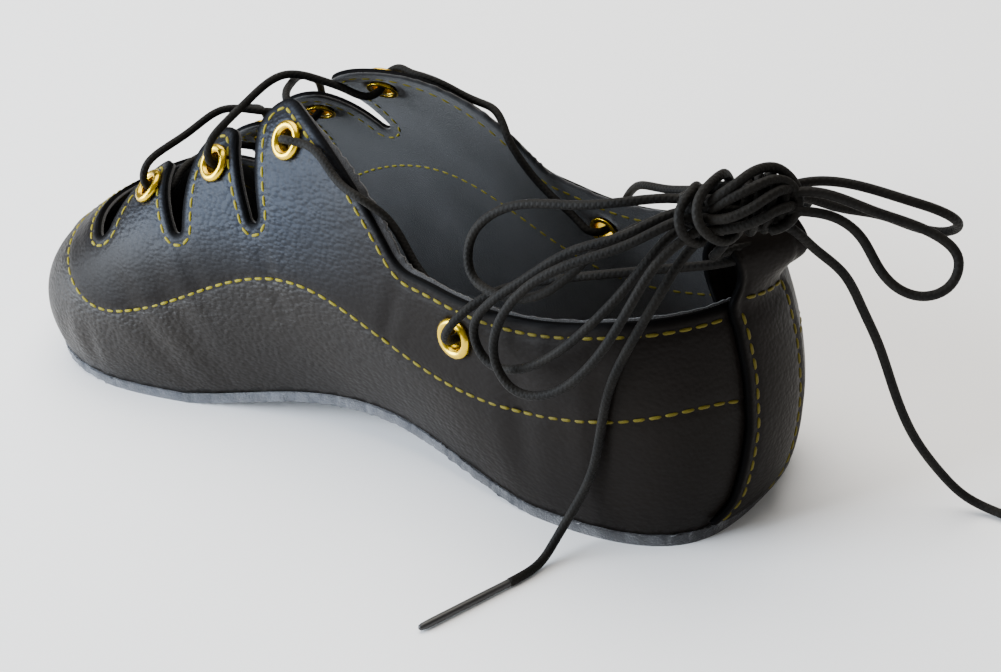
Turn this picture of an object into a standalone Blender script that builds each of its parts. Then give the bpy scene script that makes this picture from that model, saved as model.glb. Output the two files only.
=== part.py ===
"""Dance pump for the right foot: soft leather upper, thin suede sole, laced, with a bow at the heel.

Lengths are in millimetres: x from heel to toe, y to the inner side of the foot, z up from the floor.
"""
import math

import bmesh
import bpy
import numpy as np
from mathutils import Matrix, Vector
from mathutils.geometry import delaunay_2d_cdt

for old in list(bpy.data.objects):
    bpy.data.objects.remove(old, do_unlink=True)

MM = 0.001

# Place of the bottom centre of the shoe, lace ends and bow left aside
CENTRE_X = 121.30
CENTRE_Y = -0.79

# Thicknesses and clearances
WALL = 1.8
SOLE_THICK = 2.5
SOLE_PROUD = 0.3
INSOLE_THICK = 1.5
INSOLE_INSET = 2.6
STRIP_THICK = 1.2
GAP = 0.3
FLOOR_REST = 0.6

# Heel strip: half of its width, where it starts above the sole, where it leaves the leather below the
# collar edge, and how far down it is sewn inside the collar
STRIP_HALF = 8.5
STRIP_FOOT = 2.0
STRIP_LEAVE = 1.0
STRIP_INSIDE = (3.0, 6.5, 10.0)

# How far the heel loop's outer edge stands back from its middle, and the height above the collar edge where
# the loop is flat across
LOOP_TWIST = 3.2
LOOP_FLAT = 6.0

# How far the heel strip swings to the inner side on its way down: share of its height, swing
STRIP_SWING = {"foot": (0, 8), "above_sole": (0.06, 4.6), "bulge": (0.2, 2.8), "middle": (0.45, 0.8),
               "top": (0.7, 0)}

# Eyelets
EYELET_HOLE = 3.6
EYELET_SEGMENTS = 12

# Lace
LACE_RADIUS = 0.95
LACE_POINT_SPACING = 7.0
AGLET_RADIUS = 0.85
AGLET_LENGTH = 22.0
KNOT_HALF = (10.0, 6.5, 6.5)
KNOT_CENTRE = (7.0, 7.0, 73.1)
KNOT_TURN_DEG = 39.0
KNOT_REACH = 12.0
KNOT_REACH_STEP = 0.05

# Fineness of the faceted skins
SKIN_SPACING = 6.8
SKIN_CLEAR = 0.55 * SKIN_SPACING
ROUND_STEP = 0.5
OUTLINE_POINTS = 92
PLATE_ROWS = 38
PLATE_COLUMNS = 5
STRIP_ROWS = 34
STRIP_COLUMNS = 5
STRIP_STATIONS = 12
KNOT_SEGMENTS = 16
KNOT_RINGS = 10
CUT_END_POINTS = 8

# Small steps to find slopes and places on the last: length along the feather line, share of a section's
# height, number of halvings, and the share and distances under which points count as one
STEP = 0.5
SHARE_STEP = 0.01
HALVINGS = 40
AT_SOLE = 0.001
PATTERN_WELD = 1e-5
WELD = 1e-6

# Sections of the last from heel to toe: the feather line on the inner and outer side, the crown on the ridge,
# how far each side swells outward, and how high and how far over the swell reaches, as shares of the section
LAST_COLUMNS = ("inner_x", "inner_y", "inner_z", "outer_x", "outer_y", "outer_z",
                "crown_x", "crown_y", "crown_z", "inner_swell", "outer_swell", "rise", "reach")
LAST = {
    "heel_back": (11.5, 0, 0.5, 11.5, 0, 0.5, 49, 0, 92, 13, 13, 0.17, 0.86),
    "heel_corner": (15.5, 19, 0.5, 15.5, -19, 0.5, 53, 0, 92, 10, 10, 0.30, 0.72),
    "heel_side": (46, 28.5, 0, 46, -27.5, 0, 68, 0, 92, 6, 6, 0.40, 0.60),
    "waist": (91, 24, 8.5, 90, -30, 4, 94, 0.5, 90, 8, 6, 0.42, 0.55),
    "instep": (128, 25.5, 6, 126, -36, 2, 122, 1.5, 82, 8, 6, 0.45, 0.55),
    "ball": (171.5, 35, 0, 158, -39, 0, 153, 2, 68, 7, 5, 0.50, 0.55),
    "toe_side": (210.5, 31.5, 2.5, 201, -32, 1.5, 187, 1, 49, 6.5, 6, 0.52, 0.62),
    "toe_corner": (228.5, 12.5, 3.5, 226, -21.5, 4, 206, 0, 38.5, 5, 6.5, 0.54, 0.66),
    "toe_tip": (238, -3.5, 6.5, 238, -3.5, 6.5, 212, -0.5, 35, 7, 7, 0.54, 0.66),
}

# Cut edge of one side of the upper in the flat pattern, heel to throat: rounds joined by straight cuts.
# Each round is x, out from the ridge, and radius: positive round a tab's tip, negative in a hollow.
EDGE = {
    "heel_curve": (25.5, 0, -38),
    "collar": (56.8, -41.5, -90),
    "throat_corner": (69, 32.3, -16),
    "tab_1": (125.5, 16.5, 7),
    "slot_1": (133.4, 36.4, -2.2),
    "tab_2": (147.2, 19.2, 7.2),
    "slot_2": (159.6, 35.6, -1.9),
    "tab_3": (172.3, 20.5, 7),
    "slot_3": (186.4, 30.3, -3),
    "vamp_front": (184, 0, -18),
}

# Eyelet centres of one side in the flat pattern: x, out from the ridge
EYELETS = {"tab_1": (120.3, 20.7), "tab_2": (146.1, 22.1), "tab_3": (170.3, 23.1), "quarter": (49.7, 56.7)}

# Turned section of an eyelet: radius, height over the leather's outer face
EYELET_SECTION = {
    "inner_flange": (4.0, -WALL - 1.2),
    "inner_seat": (4.0, -WALL - 0.8),
    "barrel_low": (2.9, -WALL - 0.8),
    "barrel_high": (2.9, 0.5),
    "dome_rim": (4.6, 0.5),
    "dome_side": (4.4, 1.1),
    "dome_top": (3.7, 1.7),
    "dome_lip": (2.9, 1.3),
    "bore_high": (2.5, 0.6),
    "bore_low": (2.5, -WALL - 1.2),
}

# Heel loop above the collar edge: out from the leather's face, up from the edge
HEEL_LOOP = {
    "leave": (1.5, 1.0),
    "bulge": (3.7, 4.0),
    "shoulder": (4.6, 8.8),
    "top": (0.8, 13.2),
    "inner_shoulder": (-4.4, 9.8),
    "inner_side": (-5.4, 4.5),
    "inner_edge": (-3.4, 0.0),
}

# Lace over the throat on one side, mirrored for the other: flat x, flat out, lift over the leather's face
LACE_CROSSINGS = {
    "lace_cross_front": ((170.3, 23.1, 3.7), (167.5, 18, 3.3), (163, 8.5, 2.2), (158.3, 0, 1.0),
                         (154, -7, -1.4), (150, -14.5, -3.8), (146.1, -22.1, -4.9)),
    "lace_cross_back": ((146.1, 22.1, 3.7), (142.6, 16.5, 3.3), (138, 8.5, 2.2), (133, 0, 1.0),
                        (128.5, -7.5, -1.8), (126, -11.5, -3.7), (120.3, -20.7, -4.9)),
}
LACE_BAR = ((170.3, 23.1, -4.0), (171.8, 12, -4.2), (172.3, 0, -4.2), (171.8, -12, -4.2),
            (170.3, -23.1, -4.0))
LACE_SIDE = ((120.3, 20.7, 3.7), (115.5, 21.4, 3.0), (110, 23.2, 2.1), (105, 26.2, 1.8), (99.5, 30.3, 1.8),
             (95, 32.4, 1.9), (91, 33.7, 1.6), (87.5, 35.4, 0), (84, 38.0, -2.3), (79.5, 42.2, -3.9),
             (74, 47.2, -4.4), (66, 51.6, -4.6), (58, 54.6, -4.8), (49.7, 56.7, -4.9))
# Inner half of the run round the heel, from the quarter eyelet over the collar toward the heel loop: x, y, z
LACE_HEEL = ((66, 31.8, 41.5), (62.5, 30.7, 45.5), (58.5, 29.2, 50.5), (53.5, 26, 53.8), (44, 22, 56.5),
             (30, 16.5, 59))

# Lace through the heel loop, from the inner to the outer side: x, y, z
LACE_IN_LOOP = ((15.8, 10.2, 60.5), (12.6, 6.6, 60.7), (10.5, 3, 60.8), (9.2, -1.5, 60.8), (8.8, -6, 60.8),
                (9.8, -10.4, 60.7), (15, -14, 60.3))

# Bow and ends as they lie: x, y, z
LACE_LOOPS = {
    "lace_loop_inner_high": ((18, 11, 74.5), (25.5, 16.5, 75), (35.5, 20, 74), (46.5, 22, 73),
                             (54.5, 24, 69.5), (59, 26, 63), (58, 27.5, 57.5), (53, 28.5, 55.5),
                             (44.5, 28, 55.5), (37.5, 26.5, 59), (30.5, 23, 65.5), (24, 18, 70),
                             (16.5, 12, 72)),
    "lace_loop_inner_mid": ((16, 14.5, 73.5), (22.5, 21, 71), (32.5, 25.5, 67.5), (42.5, 29.5, 61),
                            (50.5, 32, 55), (55, 33, 47), (52, 33.5, 42), (45, 33.5, 42), (37, 32, 46),
                            (29, 29.5, 53), (22.5, 25, 60.5), (18, 20.5, 67), (14.5, 15, 71)),
    "lace_loop_inner_low": ((13.5, 16.5, 73.5), (20.5, 23.5, 70.5), (30, 28.5, 67), (40.5, 33, 60.5),
                            (46, 35.5, 52.5), (47, 36.5, 45), (43, 37, 40), (36, 36, 40), (28, 33.5, 45.5),
                            (22.5, 30.5, 53), (18.5, 26.5, 61), (15.5, 22, 67), (12, 17, 70.5)),
    "lace_loop_outer_high": ((-0.5, -2, 75), (-5.5, -6.5, 74.3), (-17.4, -12.4, 69.9), (-22.2, -15.7, 67),
                             (-24, -18.3, 64.2), (-22.6, -20.8, 61), (-18.8, -21.6, 59.2), (-14.8, -20.3, 60),
                             (-9.6, -16.8, 63.2), (-3.2, -10.5, 66.8), (0.8, -5, 70.5)),
    "lace_loop_outer_low": ((-3, 3.5, 72.5), (-8.5, -1, 70), (-12.5, -3, 65.8), (-15.5, -3.2, 60.5),
                            (-19, -3.8, 56.3), (-23.5, -5.8, 54.4), (-27.2, -8.8, 56), (-27.6, -11.3, 60.5),
                            (-23.5, -10.4, 65), (-14, -5, 70.6), (-3.5, 1.5, 75.5)),
}
LACE_ENDS = {
    "lace_end_inner": ((13.5, 13.5, 66.5), (17, 19.6, 59.5), (21.5, 24.8, 50), (26, 28.1, 39.5),
                       (28.5, 29.6, 29.5), (31.5, 30.7, 19), (36, 33.0, 9.5), (38.3, 37.2, 3.8),
                       (38.9, 41.6, 1.4), (39.6, 45.6, 1), (40.9, 49.6, 1)),
    "lace_end_outer": ((-1, 3, 68.5), (-4, -0.5, 63), (-7.5, -4.5, 56.5), (-10, -7, 48), (-12.5, -8, 40.5),
                       (-15, -8.5, 31.5), (-18.5, -10, 19.5), (-23, -13, 9.5), (-28, -15.5, 3),
                       (-35.5, -16, 1), (-43, -15, 1), (-50, -14, 1)),
}


def unit(v):
    """Vectors of length one."""
    return v / np.linalg.norm(v, axis=-1, keepdims=True)


def spline(knots, values, period=None):
    """Smooth cubic curve through values at knots, closed on itself where a period is given."""
    k = np.asarray(knots, float)
    v = np.asarray(values, float)
    n = len(k)
    ring = period is not None
    gaps = np.diff(np.append(k, k[0] + period)) if ring else np.diff(k)
    system = np.zeros((n, n))
    right = np.zeros(v.shape)
    for i in range(n):
        if not ring and i in (0, n - 1):
            system[i, i] = 1
            continue
        p, q = (i - 1) % n, (i + 1) % n
        system[i, p] += gaps[p]
        system[i, i] += 2 * (gaps[p] + gaps[i])
        system[i, q] += gaps[i]
        right[i] = 6 * ((v[q] - v[i]) / gaps[i] - (v[i] - v[p]) / gaps[p])
    m = np.linalg.solve(system, right)

    def at(t):
        t = np.asarray(t, float)
        if ring:
            t = (t - k[0]) % period + k[0]
        i = np.clip(np.searchsorted(k, t, side="right") - 1, 0, len(gaps) - 1)
        j = (i + 1) % n
        g = gaps[i][..., None]
        x = (t - k[i])[..., None]
        y = g - x
        return ((m[i] * y**3 + m[j] * x**3) / (6 * g)
                + (v[i] / g - m[i] * g / 6) * y + (v[j] / g - m[j] * g / 6) * x)
    return at


def ring_row(section, side):
    """One side of a section: feather point, crown x, swell, rise and reach."""
    columns = (f"{side}_x", f"{side}_y", f"{side}_z", "crown_x", f"{side}_swell", "rise", "reach")
    return [section[c] for c in columns]


# The sections run round the feather line: heel, inner side, toe, outer side
sections = [dict(zip(LAST_COLUMNS, row)) for row in LAST.values()]
ring_rows = [ring_row(s, "inner") for s in sections] + [ring_row(s, "outer") for s in sections[-2:0:-1]]
ring = np.array(ring_rows)
steps = np.linalg.norm(np.diff(ring[:, :2], axis=0, append=ring[:1, :2]), axis=1)
ROUND = steps.sum()
TIP = steps[:len(sections) - 1].sum()
RIDGE_ENDS = (sections[0]["crown_x"], sections[-1]["crown_x"])
around = spline(np.cumsum(steps) - steps, ring, ROUND)
ridge = spline([s["crown_x"] for s in sections], [(s["crown_y"], s["crown_z"]) for s in sections])
HEIGHTS = np.linspace(0, 1, 61)


def outward(t):
    """Level direction out of the shoe at places t round the feather line."""
    along = (around(t + STEP) - around(t - STEP))[..., :2]
    return unit(np.stack([-along[..., 1], along[..., 0]], -1))


def feather(t):
    """Lower edge of the sole at places t, lying on the floor at heel and ball."""
    p = around(t)[..., :3].copy()
    p[..., 2] = np.maximum(p[..., 2] - FLOOR_REST, 0)
    return p


def rib(t):
    """Four control points of the section that rises from the feather line at t to the ridge."""
    row = around(t)
    foot = feather(t) + [0, 0, SOLE_THICK + GAP]
    x = row[..., 3]
    crown = np.concatenate([x[..., None], ridge(x)], -1)
    slope = (ridge(x + STEP) - ridge(x - STEP))[..., 1] / (2 * STEP)
    low = foot.copy()
    low[..., :2] += outward(t) * row[..., 4, None]
    low[..., 2] += row[..., 5] * (crown - foot)[..., 2]
    high = crown.copy()
    high[..., :2] += (low - crown)[..., :2] * row[..., 6, None]
    high[..., 2] += slope * (high[..., 0] - x)
    return foot, low, high, crown


def skin(t, h):
    """Outer face of the leather: place t round the feather line, share h of the way up to the ridge."""
    a, b, c, d = rib(t)
    h = np.asarray(h, float)[..., None]
    return (1 - h)**3 * a + 3 * (1 - h)**2 * h * b + 3 * (1 - h) * h**2 * c + h**3 * d


def upward(t, h):
    """Direction up the section in the leather's outer face."""
    return unit(skin(t, h + SHARE_STEP) - skin(t, h - SHARE_STEP))


def facing(t, h):
    """Direction out of the leather's outer face."""
    h = np.clip(h, SHARE_STEP, 1 - 3 * SHARE_STEP)
    along = skin(t + STEP, h) - skin(t - STEP, h)
    return unit(np.cross(upward(t, h), along))


def girths(t):
    """Lengths along the sections at t, from the feather line up to each of HEIGHTS."""
    points = skin(np.repeat(t[:, None], len(HEIGHTS), 1), np.repeat(HEIGHTS[None], len(t), 0))
    steps_up = np.linalg.norm(np.diff(points, axis=1), axis=2)
    return np.concatenate([np.zeros((len(t), 1)), np.cumsum(steps_up, axis=1)], 1)


def height_at(t, girth):
    """Share h at a length girth up the sections at t."""
    return np.array([np.interp(g, line, HEIGHTS) for g, line in zip(girth, girths(t))])


def flat(t, h):
    """Place in the flat pattern, where the sections are laid out straight from the ridge."""
    foot, _, _, crown = rib(t)
    lines = girths(t)
    left = np.array([line[-1] - np.interp(share, HEIGHTS, line) for share, line in zip(h, lines)])
    return crown[:, :2] + unit((foot - crown)[:, :2]) * left[:, None]


def on_last(q):
    """Places t and shares h of points of the flat pattern."""
    q = np.asarray(q, float)
    inner = q[:, 1] >= ridge(q[:, 0].clip(*RIDGE_ENDS))[:, 0]
    tip_foot, _, _, tip_crown = rib(np.array([TIP]))
    d = (tip_foot - tip_crown)[0, :2]
    w = q - tip_crown[0, :2]
    inner = np.where(w[:, 0] > 0, d[0] * w[:, 1] - d[1] * w[:, 0] >= 0, inner)
    low = np.where(inner, 0.0, TIP)
    high = np.where(inner, TIP, ROUND)
    for _ in range(HALVINGS):
        t = (low + high) / 2
        foot, _, _, crown = rib(t)
        d = (foot - crown)[:, :2]
        w = q - crown[:, :2]
        ahead = d[:, 0] * w[:, 1] - d[:, 1] * w[:, 0] < 0
        low = np.where(ahead, t, low)
        high = np.where(ahead, high, t)
    out = (w * unit(d)).sum(1)
    return t, height_at(t, girths(t)[:, -1] - out)


def lifted(places):
    """Points over the leather from rows of flat x, flat out and lift."""
    places = np.asarray(places, float)
    t, h = on_last(places[:, :2])
    return skin(t, h) + facing(t, h) * places[:, 2:]


def material(name, colour, roughness, metallic=0.0):
    """Plain finish of a piece."""
    made = bpy.data.materials.new(name)
    made.use_nodes = True
    shader = made.node_tree.nodes["Principled BSDF"]
    shader.inputs["Base Color"].default_value = (*colour, 1)
    shader.inputs["Roughness"].default_value = roughness
    shader.inputs["Metallic"].default_value = metallic
    return made


def place(name, data, finish):
    """Object of the shoe with its finish, under the shoe's own origin."""
    data.materials.append(finish)
    made = bpy.data.objects.new(name, data)
    bpy.context.scene.collection.objects.link(made)
    made.parent = pump
    return made


def solid(name, points, faces, finish):
    """Closed piece from points and faces, welded and facing out."""
    mesh = bpy.data.meshes.new(name)
    mesh.from_pydata([tuple(p * MM) for p in points], [], faces)
    weld(mesh)
    return place(name, mesh, finish)


def weld(mesh):
    """Join the points that coincide, turn the faces outward and shade them smooth."""
    work = bmesh.new()
    work.from_mesh(mesh)
    bmesh.ops.remove_doubles(work, verts=work.verts, dist=WELD)
    bmesh.ops.recalc_face_normals(work, faces=work.faces)
    for face in work.faces:
        face.smooth = True
    work.to_mesh(mesh)
    work.free()


def shell(outer, inner, faces):
    """Points and faces of the solid between two skins with the same faces, closed by rims."""
    n = len(outer)
    edges = {(a, b) for f in faces for a, b in zip(f, f[1:] + f[:1])}
    rims = [(b, a, a + n, b + n) for a, b in sorted(edges) if (b, a) not in edges]
    backs = [tuple(i + n for i in reversed(f)) for f in faces]
    return np.concatenate([outer, inner]), faces + backs + rims


def grid_faces(rows, columns):
    """Faces of a grid of points stored row by row."""
    starts = [r * columns + c for r in range(rows - 1) for c in range(columns - 1)]
    return [(a, a + 1, a + columns + 1, a + columns) for a in starts]


def edge_line():
    """Cut edge of the inner side in the flat pattern, from the heel seam to the ridge at the throat."""
    rounds = np.array(list(EDGE.values()), float)
    turns = [np.array((-1.0, 0.0))]
    for a, b in zip(rounds, rounds[1:]):
        d = (b - a)[:2]
        u = unit(d)
        s = np.clip((b[2] - a[2]) / np.linalg.norm(d), -1, 1)
        turns.append(s * u + math.sqrt(1 - s * s) * np.array((-u[1], u[0])))
    turns.append(np.array((1.0, 0.0)))
    line = []
    for (x, y, radius), start, end in zip(rounds, turns, turns[1:]):
        first = math.atan2(start[1], start[0])
        sweep = math.atan2(end[1], end[0]) - first
        sweep = sweep % (2 * math.pi) if radius > 0 else -(-sweep % (2 * math.pi))
        turn_steps = math.ceil(abs(sweep) / ROUND_STEP)
        count = max(2, turn_steps, math.ceil(abs(sweep * radius) / SKIN_SPACING))
        angles = first + sweep * np.linspace(0, 1, count + 1)
        arc = np.stack([x - radius * np.cos(angles), y - radius * np.sin(angles)], -1)
        if line:
            gap = np.linalg.norm(arc[0] - line[-1])
            cuts = math.ceil(gap / SKIN_SPACING)
            line += [line[-1] + (arc[0] - line[-1]) * k / cuts for k in range(1, cuts)]
        line += list(arc)
    return np.array(line)


def inside(points, loop):
    """Which points lie within a closed loop."""
    a = loop
    b = np.roll(loop, -1, axis=0)
    x, y = points[:, :1], points[:, 1:]
    crosses = (a[:, 1] > y) != (b[:, 1] > y)
    rise = np.where(b[:, 1] == a[:, 1], 1, b[:, 1] - a[:, 1])
    reach = a[:, 0] + (y - a[:, 1]) * (b[:, 0] - a[:, 0]) / rise
    return (crosses & (x < reach)).sum(1) % 2 == 1


def leather_frame(x, y):
    """Centre, outward axis and two directions in the leather at a place of the flat pattern."""
    t, h = on_last([(x, y)])
    axis = facing(t, h)[0]
    level = unit(np.cross(axis, (0, 0, 1)))
    return skin(t, h)[0], axis, level, np.cross(axis, level)


def hole_loop(x, y):
    """Hole for an eyelet in the flat pattern, round once the leather is on the last."""
    centre, _, level, upright = leather_frame(x, y)
    beside, above = lifted([(x + 1, y, 0), (x, y + 1, 0)]) - centre
    stretch = np.array([[beside @ level, above @ level], [beside @ upright, above @ upright]])
    angles = np.linspace(0, 2 * math.pi, EYELET_SEGMENTS, endpoint=False)
    ring_points = EYELET_HOLE * np.array([np.cos(angles), np.sin(angles)])
    return np.linalg.solve(stretch, ring_points).T + [x, y]


def upper_pattern():
    """Points and triangles of the upper laid flat: sole outline, cut edge, eyelet holes and a net between."""
    outline = flat(np.linspace(0, ROUND, OUTLINE_POINTS, endpoint=False), np.zeros(OUTLINE_POINTS))
    edge = edge_line()
    opening = np.concatenate([edge, (edge * [1, -1])[-2:0:-1]])
    holes = [hole_loop(x, y * side) for x, y in EYELETS.values() for side in (1, -1)]
    loops = [outline, opening] + holes
    borders = np.concatenate(loops)
    low, high = outline.min(0), outline.max(0)
    xs = np.arange(low[0], high[0], SKIN_SPACING)
    ys = np.arange(low[1], high[1], SKIN_SPACING * math.sqrt(0.75))
    net = np.array([(x + SKIN_SPACING / 2 * (row % 2), y) for row, y in enumerate(ys) for x in xs])
    clear = np.linalg.norm(net[:, None] - borders[None], axis=2).min(1) > SKIN_CLEAR
    net = net[clear & inside(net, outline) & ~inside(net, opening)]
    links = []
    first = 0
    for loop in loops:
        count = len(loop)
        links += [(first + i, first + (i + 1) % count) for i in range(count)]
        first += count
    points = np.concatenate([borders, net])
    made = delaunay_2d_cdt([Vector(p) for p in points], links, [], 0, PATTERN_WELD)
    points = np.array([tuple(p) for p in made[0]])
    faces = [tuple(f) for f in made[2]]
    middles = np.array([points[list(f)].mean(0) for f in faces])
    keep = inside(middles, outline) & ~inside(middles, opening)
    for hole in holes:
        keep &= ~inside(middles, hole)
    return points, [f for f, kept in zip(faces, keep) if kept]


def make_upper():
    """Hollow leather upper, open at the collar, the throat and underneath."""
    points, faces = upper_pattern()
    t, h = on_last(points)
    outer = skin(t, h)
    inner = outer - facing(t, h) * WALL
    at_sole = h < AT_SOLE
    inner[at_sole, 2] = outer[at_sole, 2]
    solid("upper", *shell(outer, inner, faces), leather)


def make_plate(name, inset, base, thick, finish):
    """Flat-laid piece in the outline of the sole, moved in by inset, its lower face base above the sole's."""
    share = np.linspace(0, 1, PLATE_ROWS)
    inner_t, outer_t = share * TIP, ROUND - share * (ROUND - TIP)
    sides = [feather(t) - np.pad(outward(t) * inset, ((0, 0), (0, 1))) for t in (inner_t, outer_t)]
    across = np.linspace(0, 1, PLATE_COLUMNS)[None, :, None]
    lower = (sides[0][:, None] * (1 - across) + sides[1][:, None] * across).reshape(-1, 3) + [0, 0, base]
    solid(name, *shell(lower + [0, 0, thick], lower, grid_faces(PLATE_ROWS, PLATE_COLUMNS)), finish)


def make_heel_strip():
    """Strap over the heel seam that folds over the collar as a loop and is sewn down inside."""
    t = np.linspace(-STRIP_HALF, STRIP_HALF, STRIP_COLUMNS)
    foot, _, _, crown = rib(t)
    run = unit((foot - crown)[:, :2])
    w = crown[:, :2] - np.array(EDGE["heel_curve"][:2])
    along = (w * run).sum(1)
    to_edge = -along + np.sqrt(along**2 - (w * w).sum(1) + EDGE["heel_curve"][2]**2)
    edge = girths(t)[:, -1] - to_edge
    top = height_at(t, edge)
    swing_shares, swings = zip(*STRIP_SWING.values())
    stations = []
    for share in np.linspace(0, 1, STRIP_STATIONS):
        swung = t + np.interp(share, swing_shares, swings)
        h = height_at(swung, STRIP_FOOT + share * (edge - STRIP_LEAVE - STRIP_FOOT))
        stations.append(skin(swung, h) + facing(swung, h) * (GAP + STRIP_THICK / 2))
    for off, over in HEEL_LOOP.values():
        share = min(over / LOOP_FLAT, 1)
        curved = skin(t, top) + facing(t, top) * off + upward(t, top) * over
        middle = STRIP_COLUMNS // 2
        across = unit(curved[-1] - curved[0]) * STRIP_HALF - facing(t, top)[middle] * LOOP_TWIST
        flat_across = curved[middle] + np.outer(t / STRIP_HALF, across)
        stations.append(curved * (1 - share) + flat_across * share)
    for depth in STRIP_INSIDE:
        h = height_at(t, edge - depth)
        stations.append(skin(t, h) - facing(t, h) * (WALL + GAP + STRIP_THICK / 2))
    stations = np.array(stations)
    steps = np.linalg.norm(np.diff(stations[:, STRIP_COLUMNS // 2], axis=0), axis=1)
    lengths = np.concatenate([[0], np.cumsum(steps)])
    path = spline(lengths, stations.reshape(len(stations), -1))
    sheet = path(np.linspace(0, lengths[-1], STRIP_ROWS)).reshape(STRIP_ROWS, STRIP_COLUMNS, 3)
    face = unit(np.cross(np.gradient(sheet, axis=0), np.gradient(sheet, axis=1)))
    outer = (sheet + face * STRIP_THICK / 2).reshape(-1, 3)
    inner = (sheet - face * STRIP_THICK / 2).reshape(-1, 3)
    solid("heel_strip", *shell(outer, inner, grid_faces(STRIP_ROWS, STRIP_COLUMNS)), leather)


def make_eyelet(name, x, y):
    """Domed ring pressed through the leather at a place of the flat pattern."""
    centre, axis, level, upright = leather_frame(x, y)
    section = list(EYELET_SECTION.values())
    count = len(section)
    points = []
    for angle in np.linspace(0, 2 * math.pi, EYELET_SEGMENTS, endpoint=False):
        spoke = level * math.cos(angle) + upright * math.sin(angle)
        points += [centre + spoke * r + axis * z for r, z in section]
    faces = []
    for i in range(EYELET_SEGMENTS):
        a, b = i * count, (i + 1) % EYELET_SEGMENTS * count
        faces += [(a + j, a + (j + 1) % count, b + (j + 1) % count, b + j) for j in range(count)]
    solid(name, points, faces, brass)


def smooth_route(route):
    """Points at an even spacing on the smooth curve through a route."""
    route = np.asarray(route, float)
    lengths = np.concatenate([[0], np.cumsum(np.linalg.norm(np.diff(route, axis=0), axis=1))])
    count = max(2, round(lengths[-1] / LACE_POINT_SPACING) + 1)
    return spline(lengths, route)(np.linspace(0, lengths[-1], count))


def reach_knot(points):
    """Carry a cord's first point on until its cut end lies face to face with the knot."""
    way = unit(points[0] - points[1])
    across = unit(np.cross(way, (0, 0, 1)))
    angles = np.linspace(0, 2 * math.pi, CUT_END_POINTS, endpoint=False)
    rim = np.outer(np.cos(angles), across) + np.outer(np.sin(angles), np.cross(way, across))
    turn = np.array(Matrix.Rotation(math.radians(KNOT_TURN_DEG), 3, "Z"))
    for reach in np.arange(0, KNOT_REACH, KNOT_REACH_STEP):
        end = points[0] + way * reach
        local = (end + rim * LACE_RADIUS - KNOT_CENTRE) @ turn
        shares = np.linalg.norm(local / KNOT_HALF, axis=1)
        if (np.linalg.norm(local, axis=1) * (1 - 1 / shares)).min() < GAP:
            break
    return np.concatenate([[end], points[1:]])


def cord_curve(name, points, radius):
    """Round cord along points."""
    curve = bpy.data.curves.new(name, "CURVE")
    curve.dimensions = "3D"
    curve.bevel_depth = radius * MM
    curve.bevel_resolution = 2
    curve.use_fill_caps = True
    line = curve.splines.new("POLY")
    line.points.add(len(points) - 1)
    for target, p in zip(line.points, points):
        target.co = (*(p * MM), 1)
    return curve


def make_cord(name, points, radius, finish):
    """Round cord along points, as a piece of its own."""
    return place(name, cord_curve(name, points, radius), finish)


def make_crossing(name, route):
    """Two runs of the lace that cross over the ridge, joined where they meet."""
    runs = []
    for side, end in ((1, name), (-1, name + "_other_run")):
        points = smooth_route(lifted(np.array(route) * [1, side, 1]))
        drawn = bpy.data.objects.new(end, cord_curve(end, points, LACE_RADIUS))
        mesh = bpy.data.meshes.new_from_object(drawn)
        bpy.data.objects.remove(drawn)
        weld(mesh)
        mesh.materials.clear()
        runs.append(place(end, mesh, lace))
    join = runs[0].modifiers.new("join", "BOOLEAN")
    join.operation = "UNION"
    join.solver = "EXACT"
    join.object = runs[1]
    runs[1].hide_render = True
    runs[1].display_type = "WIRE"


def make_knot():
    """Body of the knot on the heel loop."""
    mesh = bpy.data.meshes.new("lace_knot")
    work = bmesh.new()
    turn = Matrix.Rotation(math.radians(KNOT_TURN_DEG), 4, "Z")
    size = Matrix.Diagonal((*(Vector(KNOT_HALF) * MM), 1))
    shape = Matrix.Translation(Vector(KNOT_CENTRE) * MM) @ turn @ size
    bmesh.ops.create_uvsphere(work, u_segments=KNOT_SEGMENTS, v_segments=KNOT_RINGS, radius=1, matrix=shape)
    for face in work.faces:
        face.smooth = True
    work.to_mesh(mesh)
    work.free()
    place("lace_knot", mesh, lace)


pump = bpy.data.objects.new("pump", None)
pump.location = (-CENTRE_X * MM, -CENTRE_Y * MM, 0)
bpy.context.scene.collection.objects.link(pump)

leather = material("black_leather", (0.02, 0.022, 0.028), 0.45)
suede = material("grey_suede", (0.33, 0.35, 0.40), 0.95)
lining = material("dark_lining", (0.05, 0.05, 0.055), 0.9)
brass = material("brass", (0.85, 0.62, 0.22), 0.25, 1.0)
lace = material("black_cord", (0.012, 0.012, 0.012), 0.7)
tip = material("black_tip", (0.015, 0.015, 0.015), 0.4)

make_plate("outsole", -SOLE_PROUD, 0, SOLE_THICK, suede)
make_upper()
make_plate("insole", INSOLE_INSET, SOLE_THICK + GAP, INSOLE_THICK, lining)
make_heel_strip()
for place_name, (eyelet_x, eyelet_out) in EYELETS.items():
    make_eyelet(f"eyelet_inner_{place_name}", eyelet_x, eyelet_out)
    make_eyelet(f"eyelet_outer_{place_name}", eyelet_x, -eyelet_out)

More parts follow.
